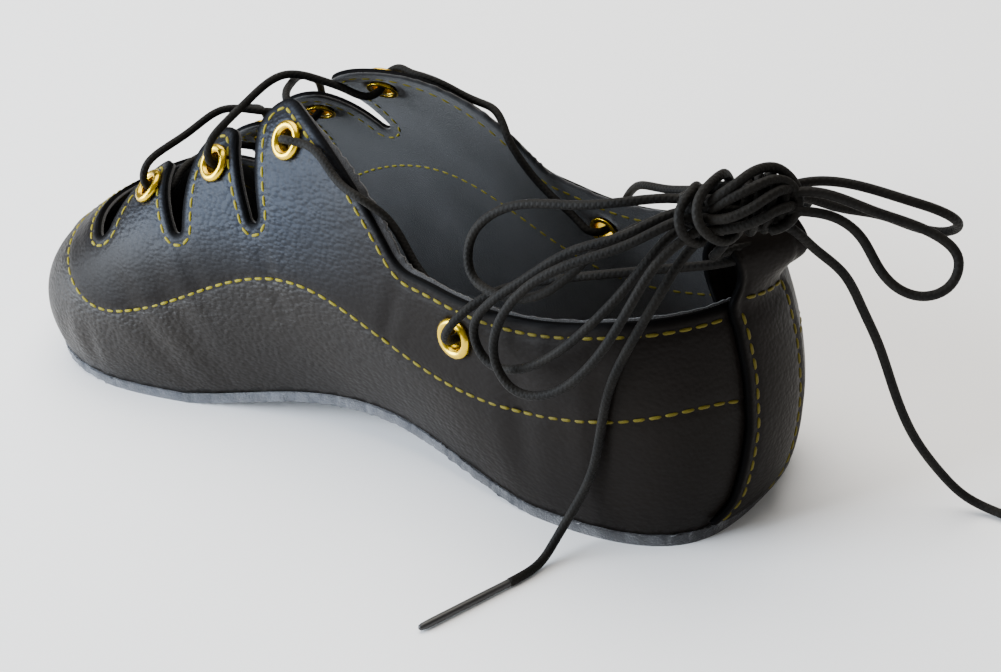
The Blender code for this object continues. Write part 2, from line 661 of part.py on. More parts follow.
make_cord("lace_bar", smooth_route(lifted(LACE_BAR)), LACE_RADIUS, lace)
for crossing, crossing_route in LACE_CROSSINGS.items():
    make_crossing(crossing, crossing_route)
for side_name, mirror in (("inner", 1), ("outer", -1)):
    side_route = lifted(np.array(LACE_SIDE) * [1, mirror, 1])
    make_cord(f"lace_side_{side_name}", smooth_route(side_route), LACE_RADIUS, lace)
half_run = np.array(LACE_HEEL)
heel_run = np.concatenate([half_run, LACE_IN_LOOP, half_run[::-1] * [1, -1, 1]])
make_cord("lace_heel", smooth_route(heel_run), LACE_RADIUS, lace)
make_knot()
for cord_name, cord_route in LACE_LOOPS.items():
    loop_points = reach_knot(reach_knot(smooth_route(cord_route))[::-1])
    make_cord(cord_name, loop_points, LACE_RADIUS, lace)
for cord_name, cord_route in LACE_ENDS.items():
    end_points = reach_knot(smooth_route(cord_route))
    make_cord(cord_name, end_points, LACE_RADIUS, lace)
    tip_way = unit((end_points[-1] - end_points[-2]) * [1, 1, 0])
    tip_start = end_points[-1] + tip_way * GAP
    tip_points = np.array([tip_start, tip_start + tip_way * AGLET_LENGTH])
    make_cord(cord_name.replace("lace_end", "aglet"), tip_points, AGLET_RADIUS, tip)
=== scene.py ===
import math

import bmesh
import bpy
import numpy as np
from mathutils import Matrix, Vector
from mathutils.geometry import delaunay_2d_cdt
from mathutils.kdtree import KDTree


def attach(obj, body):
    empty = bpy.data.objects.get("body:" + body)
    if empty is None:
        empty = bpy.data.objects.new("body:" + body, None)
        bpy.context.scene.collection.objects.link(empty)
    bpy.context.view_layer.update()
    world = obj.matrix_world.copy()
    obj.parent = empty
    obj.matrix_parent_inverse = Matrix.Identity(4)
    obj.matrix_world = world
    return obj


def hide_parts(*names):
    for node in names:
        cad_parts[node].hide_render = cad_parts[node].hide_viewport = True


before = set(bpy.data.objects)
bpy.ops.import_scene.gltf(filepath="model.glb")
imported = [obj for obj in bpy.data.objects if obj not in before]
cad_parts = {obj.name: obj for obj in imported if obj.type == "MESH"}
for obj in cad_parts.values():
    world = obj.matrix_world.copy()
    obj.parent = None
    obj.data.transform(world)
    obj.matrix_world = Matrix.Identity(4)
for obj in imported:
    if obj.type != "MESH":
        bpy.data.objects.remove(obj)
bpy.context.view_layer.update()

# Outsole: one thin full-length piece of grey suede, cut to the feather line of the last and sewn round to the
# upper. It lies flat under heel and ball, lifts into the hollow of the arch and springs up at the toe.
# Lengths are in millimetres, x from heel to toe and y to the inner side, until a mesh is placed in the frame.
MM = 0.001
CENTRE = np.array((121.30, -0.79, 0.0))
GAP = 0.3
SOLE_THICK = 2.5
SOLE_PROUD = 0.3
FLOOR_REST = 0.6
SOLE_ROWS = 260
SOLE_COLUMNS = 33
SOLE_NAP = (0.14, 0.14, 0.056)
SOLE_UNDER = 0.05
SOLE_ROUND = 0.5
SOLE_ROUND_SEGMENTS = 2
SOLE_ROUND_FROM_DEG = 55
STEP = 0.5
WELD = 1e-7
# The heel colour of the suede is painted shade, for the sole edge at the heel that stands in shade.
SUEDE = {"rubbed": (0.050, 0.054, 0.066), "pale": (0.125, 0.137, 0.165), "speckle": (0.022, 0.024, 0.028),
         "shaded_heel": (0.030, 0.030, 0.033)}
# Sections of the last from heel to toe: the feather line on the inner and outer side, the crown on the ridge,
# how far each side swells, and how high and how far over the swell reaches, as shares of the section
LAST_COLUMNS = ("inner_x", "inner_y", "inner_z", "outer_x", "outer_y", "outer_z",
                "crown_x", "crown_y", "crown_z", "inner_swell", "outer_swell", "rise", "reach")
LAST = {
    "heel_back": (11.5, 0, 0.5, 11.5, 0, 0.5, 49, 0, 92, 13, 13, 0.17, 0.86),
    "heel_corner": (15.5, 19, 0.5, 15.5, -19, 0.5, 53, 0, 92, 10, 11.8, 0.30, 0.72),
    "heel_side": (46, 28.5, 0, 46, -27.5, 0, 68, 0, 92, 6, 6, 0.40, 0.60),
    "waist": (91, 24, 8.5, 90, -30, 4, 94, 0.5, 90, 8, 6, 0.42, 0.55),
    "instep": (128, 25.5, 6, 126, -36, 2, 122, 1.5, 82, 8, 6, 0.45, 0.55),
    "ball": (171.5, 35, 0, 158, -39, 0, 153, 2, 68, 7, 5, 0.50, 0.55),
    "toe_side": (210.5, 31.5, 2.5, 201, -32, 1.5, 187, 1, 49, 6.5, 6, 0.52, 0.62),
    "toe_corner": (228.5, 12.5, 3.5, 226, -21.5, 4, 206, 0, 38.5, 5, 6.5, 0.54, 0.66),
    "toe_tip": (238, -3.5, 6.5, 238, -3.5, 6.5, 212, -0.5, 35, 7, 7, 0.54, 0.66),
}


def unit(v):
    """Vectors of length one."""
    return v / np.linalg.norm(v, axis=-1, keepdims=True)


def spline(knots, values, period=None):
    """Smooth cubic curve through values at knots, closed on itself where a period is given."""
    k = np.asarray(knots, float)
    v = np.asarray(values, float)
    n = len(k)
    closed = period is not None
    gaps = np.diff(np.append(k, k[0] + period)) if closed else np.diff(k)
    system = np.zeros((n, n))
    right = np.zeros(v.shape)
    for i in range(n):
        if not closed and i in (0, n - 1):
            system[i, i] = 1
            continue
        p, q = (i - 1) % n, (i + 1) % n
        system[i, p] += gaps[p]
        system[i, i] += 2 * (gaps[p] + gaps[i])
        system[i, q] += gaps[i]
        right[i] = 6 * ((v[q] - v[i]) / gaps[i] - (v[i] - v[p]) / gaps[p])
    m = np.linalg.solve(system, right)

    def at(t):
        t = np.asarray(t, float)
        if closed:
            t = (t - k[0]) % period + k[0]
        i = np.clip(np.searchsorted(k, t, side="right") - 1, 0, len(gaps) - 1)
        j = (i + 1) % n
        g = gaps[i][..., None]
        x = (t - k[i])[..., None]
        y = g - x
        return ((m[i] * y**3 + m[j] * x**3) / (6 * g)
                + (v[i] / g - m[i] * g / 6) * y + (v[j] / g - m[j] * g / 6) * x)
    return at


def ring_row(section, side):
    """One side of a section: feather point, crown x, swell, rise and reach."""
    columns = (f"{side}_x", f"{side}_y", f"{side}_z", "crown_x", f"{side}_swell", "rise", "reach")
    return [section[c] for c in columns]


sections = [dict(zip(LAST_COLUMNS, row)) for row in LAST.values()]
feather_ring = np.array([ring_row(s, "inner") for s in sections]
                        + [ring_row(s, "outer") for s in sections[-2:0:-1]])
feather_steps = np.linalg.norm(np.diff(feather_ring[:, :2], axis=0, append=feather_ring[:1, :2]), axis=1)
ROUND = feather_steps.sum()
TIP = feather_steps[:len(sections) - 1].sum()
around = spline(np.cumsum(feather_steps) - feather_steps, feather_ring, ROUND)
ridge = spline([s["crown_x"] for s in sections], [(s["crown_y"], s["crown_z"]) for s in sections])


def outward(t):
    """Level direction out of the shoe at places t round the feather line."""
    along = (around(t + STEP) - around(t - STEP))[..., :2]
    return unit(np.stack([-along[..., 1], along[..., 0]], -1))


def feather(t):
    """Lower edge of the sole at places t, lying on the floor at heel and ball."""
    p = around(t)[..., :3].copy()
    p[..., 2] = np.maximum(p[..., 2] - FLOOR_REST, 0)
    return p


def shell(outer, inner, faces):
    """Points and faces of the solid between two skins with the same faces, closed by rims at free edges."""
    n = len(outer)
    edges = {(a, b) for f in faces for a, b in zip(f, f[1:] + f[:1])}
    rims = [(b, a, a + n, b + n) for a, b in sorted(edges) if (b, a) not in edges]
    backs = [tuple(i + n for i in reversed(f)) for f in faces]
    return np.concatenate([outer, inner]), faces + backs + rims


def grid_faces(rows, columns):
    """Faces of a grid of points stored row by row."""
    starts = [r * columns + c for r in range(rows - 1) for c in range(columns - 1)]
    return [(a, a + 1, a + 1 + columns, a + columns) for a in starts]


def plate(inset, base, thick, rows, columns):
    """Solid laid in the outline of the sole, moved in by inset, its lower face base above the sole's."""
    share = np.linspace(0, 1, rows)
    sides = [feather(t) - np.pad(outward(t) * inset, ((0, 0), (0, 1)))
             for t in (share * TIP, ROUND - share * (ROUND - TIP))]
    across = (0.5 - 0.5 * np.cos(np.linspace(0, math.pi, columns)))[None, :, None]
    lower = (sides[0][:, None] * (1 - across) + sides[1][:, None] * across).reshape(-1, 3) + [0, 0, base]
    return shell(lower + [0, 0, thick], lower, grid_faces(rows, columns))


def show(name, data):
    """Object in the scene made of a mesh, light or camera."""
    made = bpy.data.objects.new(name, data)
    bpy.context.scene.collection.objects.link(made)
    return made


def face_out(mesh, weld=None):
    """Turn a mesh's faces outward and shade them smooth, with close points welded first."""
    work = bmesh.new()
    work.from_mesh(mesh)
    if weld is not None:
        bmesh.ops.remove_doubles(work, verts=work.verts, dist=weld)
    bmesh.ops.recalc_face_normals(work, faces=work.faces)
    for face in work.faces:
        face.smooth = True
    work.to_mesh(mesh)
    work.free()


def make_piece(name, points, faces, finishes, finish_of_face=None, marks=None):
    """Piece of the shoe from points in millimetres, with its finishes and with marks on its points."""
    mesh = bpy.data.meshes.new(name)
    mesh.from_pydata(((np.asarray(points) - CENTRE) * MM).tolist(), [], faces)
    for finish in finishes:
        mesh.materials.append(finish)
    if finish_of_face is not None:
        mesh.polygons.foreach_set("material_index", finish_of_face)
    for mark, values in (marks or {}).items():
        mesh.attributes.new(mark, "FLOAT", "POINT").data.foreach_set("value", values)
    face_out(mesh, WELD)
    return show(name, mesh)


def feed(tree, socket, value):
    """Set a socket to a value, or link it to another socket."""
    if isinstance(value, bpy.types.NodeSocket):
        tree.links.new(value, socket)
    else:
        socket.default_value = value


def add(tree, kind, inputs, **settings):
    """Node of a tree with its settings, its inputs given as values or as sockets to link."""
    made = tree.nodes.new(kind)
    for name, value in settings.items():
        setattr(made, name, value)
    for name, value in inputs.items():
        feed(tree, made.inputs[name], value)
    return made


def maths(tree, operation, *values):
    """Result of one operation on values."""
    return add(tree, "ShaderNodeMath", dict(enumerate(values)), operation=operation).outputs[0]


def noise(tree, place, scale, detail, roughness=0.5):
    """Cloudy value between nought and one."""
    return add(tree, "ShaderNodeTexNoise", {"Vector": place, "Scale": scale, "Detail": detail,
                                            "Roughness": roughness}).outputs[0]


def spread(tree, value, start, end, low=0.0, high=1.0, kind="LINEAR"):
    """Value carried from one range to another."""
    return add(tree, "ShaderNodeMapRange", {"Value": value, "From Min": start, "From Max": end, "To Min": low,
                                            "To Max": high}, interpolation_type=kind).outputs[0]


def bumped(tree, height, strength, distance):
    """Normal of a face that rises and falls with a height."""
    return add(tree, "ShaderNodeBump", {"Height": height, "Strength": strength,
                                        "Distance": distance}).outputs[0]


def place_in(tree):
    """Place on the shoe, in metres."""
    return add(tree, "ShaderNodeTexCoord", {}).outputs["Object"]


def place_along(tree):
    """Place along the shoe from heel to toe, in metres."""
    return add(tree, "ShaderNodeSeparateXYZ", {"Vector": place_in(tree)}).outputs[0]


def finish_of(name, **sockets):
    """Material with a Principled shader, and the tree and shader to finish it with."""
    made = bpy.data.materials.new(name)
    made.use_nodes = True
    shader = made.node_tree.nodes["Principled BSDF"]
    for socket, value in sockets.items():
        shader.inputs[socket.replace("_", " ")].default_value = value
    return made, made.node_tree, shader


def link_in(tree, shader, **sockets):
    """Link sockets of a tree to the shader's inputs."""
    for name, socket in sockets.items():
        tree.links.new(socket, shader.inputs[name.replace("_", " ")])


def blend_colours(tree, share, low, high):
    """Colour between two colours by a share."""
    low, high = (c if isinstance(c, bpy.types.NodeSocket) else (*c, 1) for c in (low, high))
    return add(tree, "ShaderNodeMix", {0: share, 6: low, 7: high}, data_type="RGBA").outputs[2]


def new_group(name, inputs, outputs):
    """Shader group with float and vector inputs and float outputs."""
    made = bpy.data.node_groups.new(name, "ShaderNodeTree")
    for socket, value in inputs.items():
        kind = "NodeSocketVector" if value is None else "NodeSocketFloat"
        item = made.interface.new_socket(socket, in_out="INPUT", socket_type=kind)
        if value is not None:
            item.default_value = value
    for socket in outputs:
        made.interface.new_socket(socket, in_out="OUTPUT", socket_type="NodeSocketFloat")
    return made, made.nodes.new("NodeGroupInput").outputs, made.nodes.new("NodeGroupOutput").inputs


def use_group(tree, group, **inputs):
    """Outputs of a shader group laid over the shoe in a material's tree."""
    return add(tree, "ShaderNodeGroup", {"Vector": place_in(tree), **inputs}, node_tree=group).outputs


# Brushed fibres: short hairs that lie in patches, with darker rubbed places between them
nap, nap_in, nap_out = new_group("nap", {"Vector": None, "Hair": 2600.0, "Patch": 90.0}, ("Height", "Rubbed"))
patch = noise(nap, nap_in["Vector"], nap_in["Patch"], detail=5.0, roughness=0.62)
feed(nap, nap_out["Height"], noise(nap, nap_in["Vector"], nap_in["Hair"], detail=4.0))
feed(nap, nap_out["Rubbed"], spread(nap, patch, start=0.36, end=0.66))

suede, tree, shader = finish_of("grey_suede", Roughness=0.95, Sheen_Weight=0.35, Sheen_Roughness=0.5,
                                Specular_IOR_Level=0.2)
fibres = use_group(tree, nap, Hair=2200.0, Patch=130.0)
# Painted shade: the suede is darkened towards the heel, where it stands in shade.
heel_shade = spread(tree, place_along(tree), start=-0.01, end=-0.085)
tint = blend_colours(tree, fibres["Rubbed"], SUEDE["rubbed"], SUEDE["pale"])
tint = blend_colours(tree, fibres["Height"], SUEDE["speckle"], tint)
tint = blend_colours(tree, heel_shade, tint, SUEDE["shaded_heel"])
link_in(tree, shader, Base_Color=tint, Normal=bumped(tree, fibres["Height"], strength=0.7, distance=0.0004))

sole_points, sole_faces = plate(-SOLE_PROUD, 0, SOLE_THICK, SOLE_ROWS, SOLE_COLUMNS)
nap_lumps = np.random.default_rng(3).normal(0, 1, sole_points.shape) * SOLE_NAP
nap_lumps[sole_points[:, 2] < SOLE_UNDER] = 0
sole_points = np.maximum(sole_points + nap_lumps, [-np.inf, -np.inf, 0])
outsole = make_piece("suede_outsole", sole_points, sole_faces, [suede])
edge_round = outsole.modifiers.new("worn_edge", "BEVEL")
edge_round.width = SOLE_ROUND * MM
edge_round.segments = SOLE_ROUND_SEGMENTS
edge_round.angle_limit = math.radians(SOLE_ROUND_FROM_DEG)
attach(outsole, "root")
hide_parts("outsole")

# Insole: a thin sock of dark brushed lining laid on the outsole, inside the lasted edge of the upper.
# It hides the seam and shows only through the collar and the throat.
WALL = 1.8
INSOLE_THICK = 1.5
INSOLE_INSET = WALL + 0.8
INSOLE_ROWS = 120
INSOLE_COLUMNS = 21
LINING = {"rubbed": (0.010, 0.0100, 0.0105), "pale": (0.024, 0.0235, 0.025)}
lining, tree, shader = finish_of("dark_lining", Roughness=0.95, Sheen_Weight=0.3, Specular_IOR_Level=0.2)
fibres = use_group(tree, nap, Hair=3000.0, Patch=60.0)
link_in(tree, shader, Base_Color=blend_colours(tree, fibres["Rubbed"], LINING["rubbed"], LINING["pale"]),
        Normal=bumped(tree, fibres["Height"], strength=0.6, distance=0.0004))
insole_solid = plate(INSOLE_INSET, SOLE_THICK + GAP, INSOLE_THICK, INSOLE_ROWS, INSOLE_COLUMNS)
insole = make_piece("lining_insole", *insole_solid, [lining])
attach(insole, "root")
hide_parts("insole")

# Upper: one skin of soft black leather with a brushed lining, cut flat with three lacing tabs a side, closed
# at the heel, drawn over the last and sewn to the sole. The cut edge is stitched all round, and a second seam
# runs from the heel along the side and over the toe.
SKIN_SPACING = 1.7
SKIN_CLEAR = 0.55 * SKIN_SPACING
OUTLINE_POINTS = 420
EDGE_STEP = 1.3
EDGE_TURN = 0.3
SEAM_INSET = 2.6
SEAM_STEP = 0.9
SEAM_CLEAR = 0.8
SEAM_APART = 0.6
EYELET_HOLE = 3.6
HOLE_POINTS = 28
SHARE_STEP = 0.01
SHARE_TOP = 0.97
HALVINGS = 40
AT_SOLE = 0.001
EDGE_TOUCH = 0.01
PATTERN_WELD = 1e-5
POINTS_AT_ONCE = 3000
# Cut edge of one side in the flat pattern, heel to throat: x, out from the ridge, and radius of each round,
# positive round a tab's tip and negative in a hollow
EDGE = {
    "heel_curve": (25.5, 0, -38),
    "collar": (56.8, -41.5, -90),
    "throat_corner": (69, 32.3, -16),
    "tab_1": (125.5, 16.5, 7),
    "slot_1": (133.4, 36.4, -2.2),
    "tab_2": (147.2, 19.2, 7.2),
    "slot_2": (159.6, 35.6, -1.9),
    "tab_3": (172.3, 20.5, 7),
    "slot_3": (186.4, 30.3, -3),
    "vamp_front": (184, 0, -18),
}
# Seam along the side and eyelet centres in the flat pattern: x, out from the ridge
SIDE_SEAM = {
    "heel": (-31, 18), "heel_side": (-12.5, 42.5), "quarter": (18.8, 61.5), "below_eyelet": (52, 69.3),
    "waist": (94, 63.5), "instep": (126, 53.2), "joint": (150, 51.3), "ball": (178, 53.8),
    "toe_turn": (194, 50.5), "vamp": (203, 32), "toe_top": (210, 12), "ridge": (213, 0),
}
EYELETS = {"tab_1": (120.3, 20.7), "tab_2": (146.1, 22.1), "tab_3": (170.3, 23.1), "quarter": (49.7, 56.7)}
# Creases of the leather in the flat pattern: from x, out to x, out, then half width and depth
CREASES = {
    "toe_fold": (199, 54, 207, 66, 2.2, 0.35),
    "toe_fold_2": (206, 48, 216, 58, 2.6, 0.22),
    "ball_flex": (183, 40, 178, 74, 3.5, 0.35),
    "ball_flex_2": (170, 42, 163, 76, 4.0, 0.28),
    "slot_pull": (159, 40, 156, 60, 2.6, 0.25),
    "slot_pull_2": (133, 42, 128, 62, 2.6, 0.25),
    "throat_pull": (74, 52, 84, 70, 3.0, 0.28),
    "quarter_hollow": (30, 50, 16, 78, 5.0, 0.40),
    "heel_pull": (6, 42, -8, 62, 3.2, 0.30),
}
# Soft troughs and ridges in the leather: height, half width, distance of the middle from the line
SEAM_GROOVE = (-0.22, 0.8, 0.0)
SEAM_RIDGE = (0.06, 1.2, 2.2)
EDGE_ROLL = (-0.12, 0.7, 0.0)
CREASE_RIDGE = 0.5
CREASE_RIDGE_OFF = 1.7
# Puckers where the leather is drawn under the sole: height, turns per millimetre, reach up the side, then how
# far they run round the toe and the heel, and how much weaker they are at the heel
PUCKER = {"height": 0.16, "waves": 1.05, "up": 5.0, "toe": 60.0, "heel": 45.0, "heel_share": 0.6}
# Cut edge in section: depth under the outer face, how far it bulges, share of the lining's overhang
CUT_SECTION = ((0.3, 0.16, 0.0), (1.0, 0.18, 0.0), (1.05, 0.18, 0.9), (1.6, 0.15, 1.0))
# Overhang of the lining along the cut edge: x in the flat pattern, overhang
LINING_PROUD = ((40, 0.5), (66, 0.8), (76, 2.0), (92, 2.3), (106, 1.2), (114, 0.2))
LINING_RAGGED = (0.6, 1.15)
BEHIND_HEEL = (-60.0, 0.0)
SEAM_FADE = 6.0
EDGE_FADE = 1.2
HEIGHTS = np.linspace(0, 1, 61)


def rib(t):
    """Four control points of the section that rises from the feather line at t to the ridge."""
    row = around(t)
    foot = feather(t) + [0, 0, SOLE_THICK + GAP]
    x = row[..., 3]
    crown = np.concatenate([x[..., None], ridge(x)], -1)
    slope = (ridge(x + STEP) - ridge(x - STEP))[..., 1] / (2 * STEP)
    low = foot.copy()
    low[..., :2] += outward(t) * row[..., 4, None]
    low[..., 2] += row[..., 5] * (crown - foot)[..., 2]
    high = crown.copy()
    high[..., :2] += (low - crown)[..., :2] * row[..., 6, None]
    high[..., 2] += slope * (high[..., 0] - x)
    return foot, low, high, crown


def bend(points, h):
    """Point at share h of a section's four control points."""
    a, b, c, d = points
    return (1 - h)**3 * a + 3 * (1 - h)**2 * h * b + 3 * (1 - h) * h**2 * c + h**3 * d


def skin(t, h):
    """Outer face of the leather: place t round the feather line, share h of the way up to the ridge."""
    return bend(rib(t), np.asarray(h, float)[..., None])


def facing(t, h):
    """Direction out of the leather's outer face."""
    h = np.clip(h, SHARE_STEP, SHARE_TOP)
    up = skin(t, h + SHARE_STEP) - skin(t, h - SHARE_STEP)
    along = skin(t + STEP, h) - skin(t - STEP, h)
    return unit(np.cross(up, along))


def girths(t):
    """Lengths along the sections at t, from the feather line up to each of HEIGHTS."""
    points = bend([p[:, None] for p in rib(t)], HEIGHTS[None, :, None])
    steps_up = np.linalg.norm(np.diff(points, axis=1), axis=2)
    return np.concatenate([np.zeros((len(t), 1)), np.cumsum(steps_up, axis=1)], 1)


def height_at(t, girth):
    """Share h at a length girth up the sections at t."""
    return np.array([np.interp(g, line, HEIGHTS) for g, line in zip(girth, girths(t))])


def on_last(q):
    """Places t and shares h of points of the flat pattern, whose sections lie straight out from the ridge."""
    q = np.asarray(q, float)
    inner = q[:, 1] >= ridge(q[:, 0].clip(LAST["heel_back"][6], LAST["toe_tip"][6]))[:, 0]
    tip_foot, _, _, tip_crown = rib(np.array([TIP]))
    d = (tip_foot - tip_crown)[0, :2]
    w = q - tip_crown[0, :2]
    inner = np.where(w[:, 0] > 0, d[0] * w[:, 1] - d[1] * w[:, 0] >= 0, inner)
    low = np.where(inner, 0.0, TIP)
    high = np.where(inner, TIP, ROUND)
    for _ in range(HALVINGS):
        t = (low + high) / 2
        foot, _, _, crown = rib(t)
        d = (foot - crown)[:, :2]
        w = q - crown[:, :2]
        ahead = d[:, 0] * w[:, 1] - d[:, 1] * w[:, 0] < 0
        low = np.where(ahead, t, low)
        high = np.where(ahead, high, t)
    out = (w * unit(d)).sum(1)
    return t, height_at(t, girths(t)[:, -1] - out)


def edge_line(inset, step):
    """Line inset from the cut edge of the inner side, from the heel seam to the ridge at the throat."""
    rounds = np.array([(x, y, r - inset) for x, y, r in EDGE.values()], float)
    turns = [np.array((-1.0, 0.0))]
    for a, b in zip(rounds, rounds[1:]):
        d = (b - a)[:2]
        u = unit(d)
        s = np.clip((b[2] - a[2]) / np.linalg.norm(d), -1, 1)
        turns.append(s * u + math.sqrt(1 - s * s) * np.array((-u[1], u[0])))
    turns.append(np.array((1.0, 0.0)))
    line = []
    for (x, y, radius), start, end in zip(rounds, turns, turns[1:]):
        first = math.atan2(start[1], start[0])
        sweep = math.atan2(end[1], end[0]) - first
        sweep = sweep % (2 * math.pi) if radius > 0 else -(-sweep % (2 * math.pi))
        count = max(2, math.ceil(abs(sweep) / EDGE_TURN), math.ceil(abs(sweep * radius) / step))
        angles = first + sweep * np.linspace(0, 1, count + 1)
        arc = np.stack([x - radius * np.cos(angles), y - radius * np.sin(angles)], -1)
        if line:
            cuts = math.ceil(np.linalg.norm(arc[0] - line[-1]) / step)
            line += [line[-1] + (arc[0] - line[-1]) * k / cuts for k in range(1, cuts)]
        line += list(arc)
    return np.array(line)


def both_sides(line):
    """A line of the inner side carried on over the ridge and back along the outer side."""
    return np.concatenate([line, (line * [1, -1])[-2::-1]])


def lengths_along(line):
    """Length from a line's start to each of its points."""
    return np.concatenate([[0], np.cumsum(np.linalg.norm(np.diff(line, axis=0), axis=1))])


def smooth_line(route, spacing):
    """Points at an even spacing on the smooth curve through a route."""
    route = np.asarray(route, float)
    lengths = lengths_along(route)
    return spline(lengths, route)(np.linspace(0, lengths[-1], max(3, round(lengths[-1] / spacing) + 1)))


def inside(points, loop):
    """Which points lie within a closed loop."""
    found = []
    a, b = loop, np.roll(loop, -1, axis=0)
    rise = np.where(b[:, 1] == a[:, 1], 1, b[:, 1] - a[:, 1])
    for some in np.array_split(points, max(1, len(points) // POINTS_AT_ONCE)):
        x, y = some[:, :1], some[:, 1:]
        crosses = (a[:, 1] > y) != (b[:, 1] > y)
        reach = a[:, 0] + (y - a[:, 1]) * (b[:, 0] - a[:, 0]) / rise
        found.append((crosses & (x < reach)).sum(1) % 2 == 1)
    return np.concatenate(found)


def nearest(points, line):
    """Distance of each point from the points of a line."""
    tree_of_line = KDTree(len(line))
    for i, p in enumerate(line):
        tree_of_line.insert((p[0], p[1], 0), i)
    tree_of_line.balance()
    return np.array([tree_of_line.find((p[0], p[1], 0))[2] for p in points])


def leather_frame(x, y):
    """Centre, outward axis and two directions in the leather at a place of the flat pattern."""
    t, h = on_last([(x, y)])
    axis = facing(t, h)[0]
    level = unit(np.cross(axis, (0, 0, 1)))
    return skin(t, h)[0], axis, level, np.cross(axis, level)


def hole_loop(x, y):
    """Eyelet hole in the flat pattern that is round once the leather is on the last."""
    centre, _, level, upright = leather_frame(x, y)
    t, h = on_last([(x + 1, y), (x, y + 1)])
    beside, above = skin(t, h) - centre
    stretch = np.array([[beside @ level, above @ level], [beside @ upright, above @ upright]])
    angles = np.linspace(0, 2 * math.pi, HOLE_POINTS, endpoint=False)
    return np.linalg.solve(stretch, EYELET_HOLE * np.array([np.cos(angles), np.sin(angles)])).T + [x, y]


def flat_outline():
    """The feather line in the flat pattern."""
    t = np.linspace(0, ROUND, OUTLINE_POINTS, endpoint=False)
    foot, _, _, crown = rib(t)
    return crown[:, :2] + unit((foot - crown)[:, :2]) * girths(t)[:, -1:]


edge = both_sides(edge_line(0, EDGE_STEP))[:-1]
edge_seam = both_sides(edge_line(SEAM_INSET, SEAM_STEP))
side_seam = smooth_line(both_sides(np.array(list(SIDE_SEAM.values()), float)), SEAM_STEP)
outline = flat_outline()
holes = [hole_loop(x, y * side) for x, y in EYELETS.values() for side in (1, -1)]


def seam_rows(line):
    """A seam and a row on each side of it, so that its groove has points to sink."""
    way = unit(np.gradient(line, axis=0))
    across = np.stack([-way[:, 1], way[:, 0]], -1)
    return np.concatenate([line, line + across * SEAM_STEP, line - across * SEAM_STEP])


def upper_pattern():
    """Points and triangles of the upper laid flat: outline, cut edge, holes, seams and a net between them."""
    loops = [outline, edge] + holes
    borders = np.concatenate(loops)
    seams = np.concatenate([seam_rows(edge_seam), seam_rows(side_seam)])
    seams = seams[(nearest(seams, borders) > SEAM_CLEAR) & inside(seams, outline) & ~inside(seams, edge)]
    kept = [0]
    for i in range(1, len(seams)):
        if np.linalg.norm(seams[kept[-1]] - seams[i]) > SEAM_APART:
            kept.append(i)
    seams = seams[kept]
    low, high = outline.min(0), outline.max(0)
    xs = np.arange(low[0], high[0], SKIN_SPACING)
    ys = np.arange(low[1], high[1], SKIN_SPACING * math.sqrt(0.75))
    net = np.array([(x + SKIN_SPACING / 2 * (row % 2), y) for row, y in enumerate(ys) for x in xs])
    net = net[inside(net, outline) & ~inside(net, edge)]
    net = net[nearest(net, np.concatenate([borders, seams])) > SKIN_CLEAR]
    links = []
    first = 0
    for loop in loops:
        count = len(loop)
        links += [(first + i, first + (i + 1) % count) for i in range(count)]
        first += count
    points = np.concatenate([borders, seams, net])
    made = delaunay_2d_cdt([Vector(p) for p in points], links, [], 0, PATTERN_WELD)
    points = np.array([tuple(p) for p in made[0]])
    faces = np.array([tuple(f) for f in made[2]])
    middles = points[faces].mean(1)
    keep = inside(middles, outline) & ~inside(middles, edge)
    for hole in holes:
        keep &= ~inside(middles, hole)
    return points, faces[keep]


def groove(distance, width):
    """Share of a soft trough at a distance from its middle."""
    return np.exp(-(distance / width)**2)


def leather_relief(q, t, girth):
    """How far the leather stands out at points of the pattern: seams, cut edge, creases, lasted puckers."""
    seam = np.minimum(nearest(q, edge_seam), nearest(q, side_seam))
    lift = np.zeros(len(q))
    to_edge = nearest(q, edge)
    for away, (height, width, off) in ((seam, SEAM_GROOVE), (seam, SEAM_RIDGE), (to_edge, EDGE_ROLL)):
        lift += height * groove(away - off, width)
    for x0, y0, x1, y1, width, depth in CREASES.values():
        for side in (1, -1):
            a, b = np.array((x0, y0 * side)), np.array((x1, y1 * side))
            share = np.clip((q - a) @ (b - a) / ((b - a) @ (b - a)), 0, 1)
            away = np.linalg.norm(q - a - share[:, None] * (b - a), axis=1)
            fade = np.sin(math.pi * (0.1 + 0.8 * share))
            banks = CREASE_RIDGE * groove(away - CREASE_RIDGE_OFF * width, width)
            lift += depth * fade * (banks - groove(away, width))
    heel = PUCKER["heel_share"] * groove(np.minimum(t, ROUND - t), PUCKER["heel"])
    ends = groove(t - TIP, PUCKER["toe"]) + heel
    return lift + PUCKER["height"] * ends * np.sin(t * PUCKER["waves"]) * np.exp(-girth / PUCKER["up"])


# Pebbled hide: small rounded cells drawn out along the foot, over slow dull and bright patches
hide, hide_in, hide_out = new_group("hide", {"Vector": None, "Cells": 900.0, "Patch": 45.0},
                                    ("Height", "Dull"))
drawn = add(hide, "ShaderNodeMapping", {"Vector": hide_in["Vector"], "Scale": (0.62, 1.0, 1.0)}).outputs[0]
cells = add(hide, "ShaderNodeTexVoronoi", {"Vector": drawn, "Scale": hide_in["Cells"], "Randomness": 0.9,
                                          "Smoothness": 0.35}, feature="SMOOTH_F1").outputs["Distance"]
wrinkle = noise(hide, drawn, scale=520.0, detail=3.0)
feed(hide, hide_out["Height"], maths(hide, "SUBTRACT", wrinkle, cells))
feed(hide, hide_out["Dull"], noise(hide, hide_in["Vector"], hide_in["Patch"], detail=4.0))
